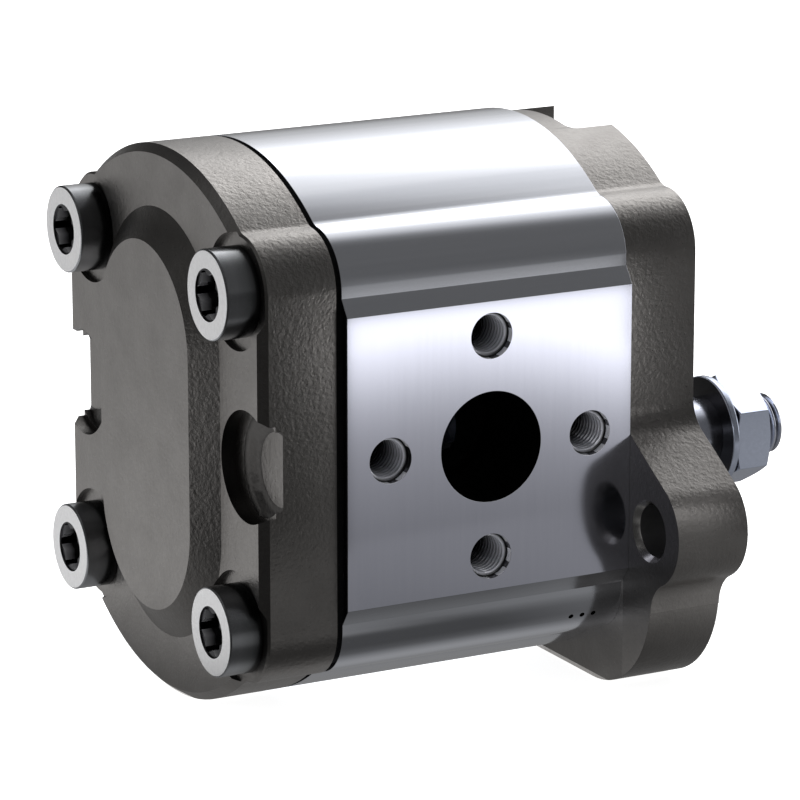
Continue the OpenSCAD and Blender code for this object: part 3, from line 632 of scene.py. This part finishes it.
def pump_body():
    """The extruded body with its bores."""
    side_end = np.array([[BODY_SIDE, PAD_HALF + PAD_SLOPE], [PAD_Y, PAD_HALF], [PAD_Y, 0]])
    outline = four_way(lobed_quarter(BODY_R, side_end))
    body = prism("body_extrusion", outline, REAR_X, FRONT_X)
    ends = (REAR_X - MM, FRONT_X + MM)
    cutters = [bar_x("chamber", CHAMBER_R, *ends, 0, z, 144) for z in (0, GEAR_CENTRES)]
    cutters += [bar_x("screw_hole", SCREW_HOLE_R, *ends, y, z, 48) for y, z in screw_places()]
    for side in (-1, 1):
        z = MIDDLE_Z - side * DOWEL_Z
        cutters.append(bar_x("dowel_hole", DOWEL_R, ends[0], REAR_X + DOWEL_HALF, side * DOWEL_Y, z, 32))
        cutters.append(bar_x("dowel_hole", DOWEL_R, FRONT_X - DOWEL_HALF, ends[1], side * DOWEL_Y, z, 32))
    for port in PORTS:
        inwards = (0, -port["side"], 0)
        face = (BODY_MID_X, port["side"] * (PAD_Y + MM), MIDDLE_Z)
        throat_r = port["bore_r"] - THROAT_STEP
        profile = [(0, port["bore_r"]), (PORT_DEPTH + MM, port["bore_r"]), (PORT_DEPTH + MM, throat_r),
                   (PAD_Y + MM - PORT_END_Y, throat_r)]
        cutters.append(turned("port", profile, face, inwards, 128))
        cutters += [tapped_mouth("tapped", place, inwards, port["thread_r"]) for place in port_holes(port)]
    down = Vector((0, -math.cos(MARK_SLOPE), -math.sin(MARK_SLOPE)))
    lobe = Vector((FRONT_X - MARK_INSET, -SCREW_Y, MIDDLE_Z - SCREW_Z))
    for i in range(3):
        start = lobe + down * (LOBE_R - MARK_DEPTH) - Vector((i * MARK_STEP, 0, 0))
        cutters.append(turned("mark", [(0, MARK_R), (MARK_DEPTH + MM, MARK_R)], start, down, 16))
    carved(body, cutters)

    def edge_width(middle):
        if abs(abs(middle.y) - PAD_Y) < TOUCH:
            return 0.12 * MM
        outside = math.hypot(middle.y, middle.z - MIDDLE_Z) > BODY_SIDE - 2.1 * MM
        at_end = min(abs(middle.x - REAR_X), abs(middle.x - FRONT_X)) < TOUCH
        return 0.2 * MM if outside and at_end else 0.0

    rounded(body, edge_width, 2)
    smooth(body)

    def on_face(centre, normal):
        return abs(normal.y) > 0.99 and abs(abs(centre.y) - PAD_Y) < 0.05 * MM

    def in_bore(centre, normal):
        from_axis = math.hypot(centre.x - BODY_MID_X, centre.z - MIDDLE_Z)
        return abs(centre.y) < PAD_Y - 0.2 * MM and from_axis < PORTS[0]["bore_r"] + 0.2 * MM

    def in_mark(centre, normal):
        y, z = -centre.y - SCREW_Y, centre.z - MIDDLE_Z + SCREW_Z
        sunk = LOBE_R - math.hypot(y, z)
        along = centre.x - (FRONT_X - MARK_INSET - 1.5 * MARK_STEP)
        return y > 0 > z and 0.02 * MM < sunk < 1.2 * MARK_DEPTH and abs(along) < 5 * MM

    def in_tap(centre, normal):
        depth = PAD_Y - abs(centre.y)
        aside = max(abs(centre.x - BODY_MID_X), abs(centre.z - MIDDLE_Z))
        return 0.05 * MM < depth < TAP_DEPTH + 4 * MM and aside < PORT_FIELD

    def in_mouth(centre, normal):
        return in_tap(centre, normal) and PAD_Y - abs(centre.y) < MOUTH_DEPTH and abs(normal.y) < 0.3

    # Painted reflection: light sectors round the mouth wall of each tapped hole, between dark ones
    def highlight_sectors(centre, normal):
        turn = math.degrees(math.atan2(-normal.z, -normal.x))
        return in_mouth(centre, normal) and (turn + 20) % 50 < 29

    def in_chamber(centre, normal):
        low_enough = abs(centre.z - MIDDLE_Z) < GEAR_CENTRES / 2 + CHAMBER_R + 0.75 * MM
        return abs(centre.y) < CHAMBER_R + 0.25 * MM and low_enough and abs(normal.x) < 0.5

    # Painted shade: the pad's rear ends, which stand proud of the rear cover, are painted near black
    def pad_end(centre, normal):
        return abs(normal.x) > 0.9 and abs(centre.y) > BODY_SIDE - 0.05 * MM and centre.x < BODY_MID_X

    # The tapped holes, port bore, gear chamber and marks are painted near black as painted shade, and the
    # mouths of the tapped holes in dark and light sectors as a painted reflection
    paint(body, "extruded", [("milled", on_face), ("bore_painted_shade", in_tap), ("mouth_painted_shade", in_mouth),
                             ("mouth_painted_highlight", highlight_sectors), ("bore_painted_shade", in_bore),
                             ("bore_painted_shade", in_chamber), ("bore_painted_shade", in_mark), ("joint_painted_shade", pad_end)])
    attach(body, "housing")
    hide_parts("pump_body")


def port_threads():
    """The thread in each of the eight tapped holes, below its plain mouth."""
    shells = []
    for port in PORTS:
        inwards = np.array([0, -port["side"], 0])
        start = MOUTH_DEPTH + 0.02 * MM
        for place in port_holes(port):
            shells.append(helix_shell("thread", np.array(place) + inwards * start, inwards, TAP_DEPTH - start,
                                      (port["drill_r"], port["thread_r"] - 0.05 * MM),
                                      port["thread_r"] + 0.015 * MM, TAP_PITCH, 0.25 * MM))
    threads = joined("port_threads", shells)
    threads.data.materials.append(FINISH["tapped"])
    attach(threads, "housing")


def straight_sides(places):
    """The sides of a cover without the shallow dent between a lobe and the straight side: there |y| is the
    side's own."""
    y, z = np.abs(places[:, 1]), np.abs(places[:, 2] - MIDDLE_Z)
    dent = (np.abs(y - BODY_SIDE) < 0.15 * MM) & (np.abs(z - SCREW_Z + 1.3 * MM) < 0.6 * MM)
    places[dent, 1] = np.sign(places[dent, 1]) * BODY_SIDE
    return places


def split_across(obj, sides):
    """Cuts the faces of obj along the planes y = side, so that each part can have its own finish."""
    work = bmesh.new()
    work.from_mesh(obj.data)
    for side in sides:
        parts = work.verts[:] + work.edges[:] + work.faces[:]
        bmesh.ops.bisect_plane(work, geom=parts, plane_co=(0, side, 0), plane_no=(0, 1, 0))
    work.to_mesh(obj.data)
    work.free()


def front_cover():
    """The cast flange, with its cast edges rounded and its machined edges just broken."""
    cover = merged_copy("front_cover", "front_flange", straight_sides)

    def from_ear_hole(place):
        return math.hypot(abs(place.y) - EAR_HOLE_Y, place.z + EAR_DROP)

    # Round at the outside, where the casting shows; broken edges at the holes, the slot and the pilot
    def edge_width(middle):
        if from_ear_hole(middle) < 7 * MM:
            return 0.15 * MM
        y, z = abs(middle.y), abs(middle.z - MIDDLE_Z)
        screw_hole = math.hypot(y - SCREW_Y, z - SCREW_Z) < 6 * MM
        about_shaft = math.hypot(middle.y, middle.z) < 27 * MM
        return 0.1 * MM if math.hypot(y, z) < 37 * MM or screw_hole or about_shaft else CAST_ROUND

    rounded(cover, edge_width)
    split_across(cover, (-BODY_SIDE - 0.3 * MM, BODY_SIDE + 0.3 * MM))
    smooth(cover)

    def ear_back(centre, normal):
        return normal.x < -0.98 and abs(centre.y) > BODY_SIDE

    def ear_bore(centre, normal):
        return abs(normal.x) < 0.3 and from_ear_hole(centre) < EAR_HOLE_R + 0.05 * MM

    def ear_bevel(centre, normal):
        return from_ear_hole(centre) < EAR_HOLE_R + 1.15 * MM and -0.95 < normal.x < -0.3

    # Painted shade: the far half of each ear hole's bevel is painted dark
    def bevel_far_half(centre, normal):
        return ear_bevel(centre, normal) and abs(centre.y) > EAR_HOLE_Y + 0.5 * MM

    def machined(centre, normal):
        return normal.x > 0.98

    # The cover's colour is painted lighter or darker by height, and the backs of the ears darker towards the
    # top, as painted light and shade
    paint(cover, "cast_front_painted_light", [("cast_shaded", ear_back), ("bore_shade", ear_bore),
                                ("machined_edge", ear_bevel), ("cast_painted_shade", bevel_far_half),
                                ("cast_fine", machined)])
    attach(cover, "housing")
    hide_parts("front_cover")


def rear_cover():
    """The cast cover with its boss, seats and notches."""
    cover = merged_copy("rear_cover", "rear_casting", straight_sides)
    margin = REAR_X - REAR_PLATE
    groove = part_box("rear_cover")[1].x - JOINT_GROOVE

    def from_notch(place):
        return math.hypot(abs(place.y) - NOTCH_Y, place.z - MIDDLE_Z)

    # Sharp at the joint, rounder at the rims of the notches than elsewhere
    def edge_width(middle):
        if middle.x > REAR_X - 3 * MM:
            return 0.0
        if abs(from_notch(middle) - NOTCH_R) < 0.4 * MM and abs(middle.x - margin) < 2 * MM:
            return 0.7 * MM
        return 0.1 * MM if from_notch(middle) < NOTCH_R and middle.x > margin + MM else 0.3 * MM

    rounded(cover, edge_width)
    smooth(cover)

    # Painted shade: the joint groove is painted near black
    def in_groove(centre, normal):
        return centre.x > groove

    def milled(centre, normal):
        return normal.x < -0.98

    # Painted shade: the walls of the screw seats are painted dark
    def in_seat(centre, normal):
        y, z = abs(centre.y) - SCREW_Y, abs(centre.z - MIDDLE_Z) - SCREW_Z
        wall = abs(normal.x) < 0.3 and margin - MM < centre.x < margin + 1.4 * MM
        return wall and math.hypot(y, z) < SCREW_HEAD_R + 2.5 * MM

    # Painted shade: the slopes of the notches are painted dark
    def notch_slope(centre, normal):
        inside = from_notch(centre) < NOTCH_R + 0.1 * MM and abs(centre.y) < BODY_SIDE - 0.1 * MM
        return inside and margin + 0.6 * MM < centre.x < margin + 6 * MM and normal.x > -0.98

    # The cover's colour is also painted lighter or darker by height as painted light and shade
    paint(cover, "cast_rear_painted_light", [("joint_painted_shade", in_groove), ("cast_fine", milled), ("cast_painted_shade", in_seat),
                               ("cast_painted_shade", notch_slope)])
    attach(cover, "housing")
    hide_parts("rear_cover")


def socket_cutter(name, x0, x1, y, z):
    """A six-lobed prism along X. Its outline is r(a) = R - d w^1.4 with w = (1 - cos 6 a) / 2, so that the
    socket's radius R is drawn in six times by the depth d of its flutes."""
    a = np.radians(np.arange(0, 360, 3))
    r = SOCKET_R - FLUTE_DEPTH * ((1 - np.cos(6 * a)) / 2) ** 1.4
    outline = np.stack([y + r * np.cos(a), z - MIDDLE_Z + r * np.sin(a)], axis=1)
    return prism(name, outline, x0, x1)


def cover_screws():
    """The four cap screws: blackened, with bright end faces and a six-lobed socket; painted shade darkens
    their barrels towards the cover and fills the sockets, with painted light on the socket walls near the
    mouth.
    """
    screw_low, screw_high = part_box("cover_screws")
    head_x = screw_low.x
    length = screw_high.x - head_x
    rim = [(RIM_DEPTH * (1 - math.cos(turn)), SCREW_HEAD_R - RIM_WIDTH * (1 - math.sin(turn)))
           for turn in np.radians([0, 15, 35, 55, 75, 90])]
    profile = [(0, MM), (0, SOCKET_R - 0.5 * MM), *rim, (SCREW_HEAD_H, SCREW_HEAD_R), (SCREW_HEAD_H, SCREW_R),
               (length - MM, SCREW_R), (length, SCREW_R - MM)]
    mouth = [(-MM, SOCKET_R + 1.2 * MM), (0.3 * MM, SOCKET_R - 0.1 * MM)]
    screws = []
    for y, z in screw_places():
        place = (head_x, y, z)
        screw = turned("screw", profile, place, (1, 0, 0), 128)
        screws.append(carved(screw, [socket_cutter("socket", head_x - MM, head_x + SOCKET_DEPTH, y, z),
                                     turned("mouth", mouth, place, (1, 0, 0), 96)]))
    screws = joined("cap_screws", screws)
    smooth(screws)

    def from_axis(centre):
        return math.hypot(abs(centre.y) - SCREW_Y, abs(centre.z - MIDDLE_Z) - SCREW_Z)

    def end_face(centre, normal):
        return centre.x < head_x + 0.05 * MM and normal.x < -0.95

    def in_socket(centre, normal):
        depth = centre.x - head_x
        return 0.05 * MM < depth < SOCKET_DEPTH + 0.1 * MM and from_axis(centre) < SOCKET_R + 0.5 * MM

    def socket_painted_light(centre, normal):
        return in_socket(centre, normal) and abs(normal.x) < 0.5 and from_axis(centre) < SOCKET_R - 0.12 * MM

    # Painted shade on the barrels and in the sockets, painted light on the socket walls
    paint(screws, "barrel_steel_painted_shade", [("turned_end", end_face), ("painted_shade_steel", in_socket),
                                   ("socket_painted_light", socket_painted_light)])
    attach(screws, "housing")
    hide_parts("cover_screws")


def thread_core(places):
    """The shaft turned down to the root of its thread, so that the thread can lie on it: r = min(r, root)."""
    r = np.hypot(places[:, 1], places[:, 2])
    slim = (places[:, 0] > THREAD_START) & (r > THREAD_ROOT)
    places[slim, 1:] *= (THREAD_ROOT / r[slim])[:, None]
    return places


def shaft_end():
    """Shaft with its gear and its thread, the washer and the nut."""
    def faces_along_x(centre, normal):
        return abs(normal.x) > 0.95

    for node, name, finish, slot, width in (
            ("drive_gear", "drive_shaft_steel", "ground_steel", "ground_steel", 0.1),
            ("shaft_washer", "plain_washer", "zinc", "zinc_steel", 0.3),
            ("shaft_nut", "hexagon_nut", "zinc", "zinc_steel", 0.3)):
        piece = merged_copy(node, name)
        if node == "drive_gear":
            piece.data.vertices.foreach_set("co", thread_core(vertex_places(piece.data)).ravel())
        rounded(piece, lambda middle: width * MM if middle.x > 0 else 0.0, 2)
        smooth(piece)
        # The washer's flat faces are painted dark as painted shade
        paint(piece, finish, [("painted_shade_steel", faces_along_x)] if node == "shaft_washer" else [])
        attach(piece, "drive_shaft")
        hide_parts(node)
    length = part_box("drive_gear")[1].x - 0.15 * MM - THREAD_START
    thread = helix_shell("shaft_thread", (THREAD_START, 0, 0), (1, 0, 0), length, THREAD_ROOT - 0.3 * MM,
                         (THREAD_CREST, THREAD_ROOT + 0.02 * MM), THREAD_PITCH, 0.7 * MM)
    thread.data.materials.append(FINISH["thread_painted_light"])
    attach(thread, "drive_shaft")


def inner_nodes():
    """Finishes of the CAD nodes that stay as they are."""
    finishes = {
        "driven_gear": "ground_steel", "woodruff_key": "ground_steel",
        "front_dowels": "ground_steel", "rear_dowels": "ground_steel",
        "front_bearing_block": "block", "rear_bearing_block": "block",
        "front_drive_bush": "bronze", "rear_drive_bush": "bronze",
        "front_driven_bush": "bronze", "rear_driven_bush": "bronze",
        "front_joint_seal": "rubber", "rear_joint_seal": "rubber",
        "front_block_seal": "rubber", "rear_block_seal": "rubber",
        "front_backup_ring": "white_plastic", "rear_backup_ring": "white_plastic",
        "shaft_seal_case": "seal_case", "shaft_seal_lip": "rubber",
        "shaft_seal_spring": "ground_steel", "seal_keeper_ring": "black_steel",
    }
    for node, finish in finishes.items():
        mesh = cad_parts[node].data
        mesh.materials.clear()
        mesh.materials.append(FINISH[finish])


# The camera, found from the port's holes and the cover screws; angles in degrees, lens and sensor in mm
CAMERA_PLACE = Vector((-0.40933, -0.69336, 0.21699))
CAMERA_AZIMUTH = -28.147
CAMERA_ELEVATION = 14.452
CAMERA_LENS = 198.62
CAMERA_SENSOR = 36


def camera():
    """The photograph's camera."""
    a, e = math.radians(CAMERA_AZIMUTH), math.radians(CAMERA_ELEVATION)
    back = Vector((math.sin(a) * math.cos(e), -math.cos(a) * math.cos(e), math.sin(e)))
    data = bpy.data.cameras.new("camera")
    data.lens = CAMERA_LENS
    data.sensor_width = CAMERA_SENSOR
    data.clip_start, data.clip_end = 0.05, 20
    made = bpy.data.objects.new("camera", data)
    made.location = CAMERA_PLACE
    made.rotation_mode = "QUATERNION"
    made.rotation_quaternion = (-back).to_track_quat("-Z", "Y")
    bpy.context.scene.collection.objects.link(made)
    bpy.context.scene.camera = made


# Soft lamps: place, width, height and power in watts. All are turned towards LAMP_AIM. Lengths are in metres
# here and in the screens below.
LAMPS = {"overhead": ((0.05, 0.10, 0.75), 0.8, 0.6, 5),
         "left": ((-0.85, 0.10, 0.30), 0.6, 0.6, 4),
         "back": ((0.45, 0.85, 0.45), 1.0, 0.5, 6)}
LAMP_AIM = (-0.04, 0, 0)
WORLD_LEVEL = 0.3
FLOOR_GLOW = 0.9
FLOOR_HALF = 6.0

# The arch: (angle in degrees, level) of its right half, with the bright window, and of its left half
ARCH_R = 0.6
ARCH_HALF = 0.8
WINDOW = [(-5, 0.2), (4, 0.23), (10, 0.38), (16, 0.55), (22, 0.70), (28, 0.88), (34, 1.2), (40, 1.6),
          (46, 2.3), (58, 2.3), (62, 1.6), (66, 1.2), (70, 1.0), (76, 0.86), (82, 0.72), (86, 0.44),
          (96, 0.18), (106, 0.12), (166, 0.12), (176, 0.15), (185, 0.2)]
LEFT_SIDE = [(-5, 0.5), (4, 0.3), (12, 0.06), (55, 0.06), (68, 0.14), (92, 0.14), (105, 0.06), (185, 0.05)]

# The sheet over the floor: (y, level)
FLOOR_LEVEL = [(-0.60, 0.22), (-0.18, 0.22), (-0.16, 0.25), (-0.108, 0.18), (-0.075, 0.10), (-0.061, 0.065),
               (-0.047, 0.065), (-0.042, 0.10), (-0.0386, 0.2), (-0.035, 0.30), (-0.031, 0.30),
               (-0.027, 0.23), (0.0, 0.2), (0.044, 0.25), (0.065, 0.6), (0.1, 0.6), (0.2, 0.48), (0.6, 0.42)]

# The card in front of the suction port: its edges, the middle and half width of its dome, how far the dome
# drops at its sides, the top of the bright band over it, and (height, level) at its middle
CARD_Y = -0.075
CARD_LEFT, CARD_RIGHT = -0.0545, 0.0062
CARD_FOOT, CARD_TOP = -0.0084, 0.046
DOME_X, DOME_HALF, DOME_DROP = -0.0387, 0.0386, 0.007
BAND_TOP = 0.0325
DOME = [(-0.0084, 0.20), (0.0006, 0.26), (0.0060, 0.31), (0.0087, 0.345), (0.0114, 0.395), (0.0137, 0.46),
        (0.0164, 0.55), (0.0191, 0.68), (0.0218, 0.85), (0.0245, 1.03), (0.0267, 1.2), (0.0290, 1.4),
        (0.0325, 1.4), (0.0345, 0.32), (0.0460, 0.28)]

# The two dark flags: (x, y) of both ends, and the height of the foot
FLAGS = {"left_flag": ((-0.0980, -0.0680), (-0.0545, -0.0752), -0.01),
         "right_flag": ((-0.0019, -0.0629), (0.0062, -0.0762), 0.024)}
FLAG_TOP = 0.054
FLAG_LEVEL = 0.06


def soft_lamp(name, place, width, height, power):
    """A rectangular soft lamp at place. Gloss doesn't mirror it: the screens do that."""
    data = bpy.data.lights.new(name, "AREA")
    data.shape = "RECTANGLE"
    data.size, data.size_y = width, height
    data.energy = power
    made = bpy.data.objects.new(name, data)
    made.location = place
    made.rotation_mode = "QUATERNION"
    made.rotation_quaternion = (Vector(LAMP_AIM) - Vector(place)).to_track_quat("-Z", "Y")
    made.visible_glossy = False
    bpy.context.scene.collection.objects.link(made)


def screen(name, points, levels):
    """A studio screen that only reflections see: a grid of points, each of which glows at its own level."""
    mesh = grid_mesh(name, points)
    glow = mesh.attributes.new("glow", "FLOAT", "POINT")
    glow.data.foreach_set("value", np.ascontiguousarray(levels, dtype=np.float32).ravel())
    made = link(name, mesh)
    finish, tree, shader = material(name)
    level = add(tree, "ShaderNodeAttribute", attribute_name="glow")
    shine = add(tree, "ShaderNodeEmission", Strength=1.0)
    tree.links.new(level.outputs["Fac"], shine.inputs["Color"])
    tree.links.new(shine.outputs["Emission"], tree.nodes["Material Output"].inputs["Surface"])
    mesh.materials.append(finish)
    made.visible_camera = False
    made.visible_diffuse = False
    made.visible_shadow = False
    made.visible_transmission = False


def rise(value, start, end):
    """0 at start and 1 at end, straight in between and level beyond them."""
    return np.clip((value - start) / (end - start), 0, 1)


def arch(floor_z):
    """A half-round screen over the pump, P = (x, R cos a, middle + R sin a). The angle a runs from the
    floor behind, over the top, to the floor in front. Its right half holds a bright window behind and above
    the pump, which lies slantwise; its left half is dim behind and softly lit above. The halves blend by the
    curve s^2 (3 - 2 s)."""
    dip = math.degrees(math.asin((MIDDLE_Z - floor_z) / ARCH_R))
    angle, x = np.meshgrid(np.linspace(-dip, 180 + dip, 95), np.linspace(-ARCH_HALF, ARCH_HALF, 33),
                           indexing="ij")
    a = np.radians(angle)
    points = np.stack([x, ARCH_R * np.cos(a), MIDDLE_Z + ARCH_R * np.sin(a)], axis=-1)
    slant = np.clip(110 * (x - 0.26), -15, 25) * (angle > 45)
    right = np.interp(angle - slant, *zip(*WINDOW))
    left = np.interp(angle, *zip(*LEFT_SIDE))
    share = rise(x, 0.02, 0.18)
    screen("arch", points, left + (right - left) * share * share * (3 - 2 * share))


def floor_sheet(floor_z):
    """A screen just above the floor: a level by the distance in front of or behind the pump, and over it
    patches that fade in at their edges."""
    y = np.concatenate([np.linspace(-0.62, -0.16, 16), np.linspace(-0.15, 0.06, 106),
                        np.linspace(0.07, 0.62, 30)])
    x, y = np.meshgrid(np.linspace(-0.84, 0.84, 57), y, indexing="ij")
    points = np.stack([x, y, np.full_like(x, floor_z + MM)], axis=-1)
    level = np.interp(y, *zip(*FLOOR_LEVEL))
    left = rise(x, -0.09, -0.11)
    for patch, share in (
            (0.24, rise(x, -0.008, 0.010) * rise(y, -0.02, -0.04) * rise(y, -0.16, -0.14)),
            (0.12, rise(x, 0.08, 0.10) * rise(y, -0.16, -0.18)),
            (0.22, rise(x, -0.036, -0.044) * rise(x, -0.085, -0.075)
             * rise(y, -0.065, -0.075) * rise(y, -0.2, -0.18)),
            (0.35, rise(x, 0.06, 0.09) * rise(y, -0.02, -0.07) * rise(y, -0.16, -0.14)),
            (0.03, left * rise(y, -0.005, -0.025)),
            (0.62, left * rise(y, -0.005, 0.015) * rise(y, 0.07, 0.06)),
            (0.12, rise(x, 0.0, 0.03) * rise(y, 0.05, 0.08))):
        level = level + (patch - level) * share
    screen("floor_sheet", points, level)


def left_wall(floor_z):
    """A dim screen beyond the rear cover, lighter at its top."""
    y, z = np.meshgrid(np.linspace(-ARCH_R, ARCH_R, 13), np.linspace(floor_z, ARCH_R, 14), indexing="ij")
    points = np.stack([np.full_like(y, -ARCH_HALF), y, z], axis=-1)
    screen("left_wall", points, np.interp(z, [0, 0.3, 0.6], [0.05, 0.05, 0.2]))


def port_card():
    """An upright card in front of the suction port. It is dim at the foot, in the shape of a low dome, and
    white above it: the level goes by z + drop s^2, where s is the distance aside in half widths."""
    x, z = np.meshgrid(np.linspace(CARD_LEFT, CARD_RIGHT, 20), np.linspace(CARD_FOOT, CARD_TOP, 60),
                       indexing="ij")
    points = np.stack([x, np.full_like(x, CARD_Y), z], axis=-1)
    aside = (x - DOME_X) / DOME_HALF
    height = np.where(z < BAND_TOP, np.minimum(z + DOME_DROP * aside * aside, BAND_TOP), z)
    screen("port_card", points, np.interp(height, *zip(*DOME)))


def flags():
    """Two dark upright sheets at the card's left and right edges, P = start + (end - start) s, z. They keep
    bright surroundings and the card's own light off the sides of the covers."""
    for name, (start, end, foot) in FLAGS.items():
        s, z = np.meshgrid(np.linspace(0, 1, 5), np.linspace(foot, FLAG_TOP, 8), indexing="ij")
        x, y = (near + (far - near) * s for near, far in zip(start, end))
        points = np.stack([x, y, z], axis=-1)
        screen(name, points, np.full(s.shape, FLAG_LEVEL))


def seen_directly(tree):
    """1 for rays from the camera and for those that gloss or glass sends on, 0 for lighting."""
    path = add(tree, "ShaderNodeLightPath")
    total = path.outputs["Is Camera Ray"]
    for output in ("Is Glossy Ray", "Is Transmission Ray"):
        both = add(tree, "ShaderNodeMath", operation="MAXIMUM")
        tree.links.new(total, both.inputs[0])
        tree.links.new(path.outputs[output], both.inputs[1])
        total = both.outputs[0]
    return total


def studio():
    """Pale floor, white surroundings, soft lamps and screens for the metal to mirror."""
    world = bpy.data.worlds.new("studio")
    bpy.context.scene.world = world
    world.use_nodes = True
    tree = world.node_tree
    background = tree.nodes["Background"]
    strength = add(tree, "ShaderNodeMapRange", To_Min=WORLD_LEVEL, To_Max=1.0)
    tree.links.new(seen_directly(tree), strength.inputs["Value"])
    tree.links.new(strength.outputs["Result"], background.inputs["Strength"])
    background.inputs["Color"].default_value = (1, 1, 1, 1)

    floor_z = cad_low.z - 0.05 * MM
    mesh = bpy.data.meshes.new("floor")
    mesh.from_pydata([(x * FLOOR_HALF, y * FLOOR_HALF, floor_z)
                      for x, y in ((-1, -1), (1, -1), (1, 1), (-1, 1))], [], [(0, 1, 2, 3)])
    floor = link("floor", mesh)
    finish, tree, shader = material("floor")
    shader.inputs["Base Color"].default_value = (0.8, 0.8, 0.8, 1)
    shader.inputs["Roughness"].default_value = 0.9
    shader.inputs["Emission Color"].default_value = (1, 1, 1, 1)
    glow = add(tree, "ShaderNodeMath", operation="MULTIPLY")
    glow.inputs[1].default_value = FLOOR_GLOW
    tree.links.new(seen_directly(tree), glow.inputs[0])
    tree.links.new(glow.outputs[0], shader.inputs["Emission Strength"])
    mesh.materials.append(finish)

    for name, lamp in LAMPS.items():
        soft_lamp(name, *lamp)
    arch(floor_z)
    floor_sheet(floor_z)
    port_card()
    flags()
    left_wall(floor_z)


camera()
studio()
pump_body()
port_threads()
front_cover()
rear_cover()
cover_screws()
shaft_end()
inner_nodes()

bpy.context.scene.view_settings.view_transform = "Standard"
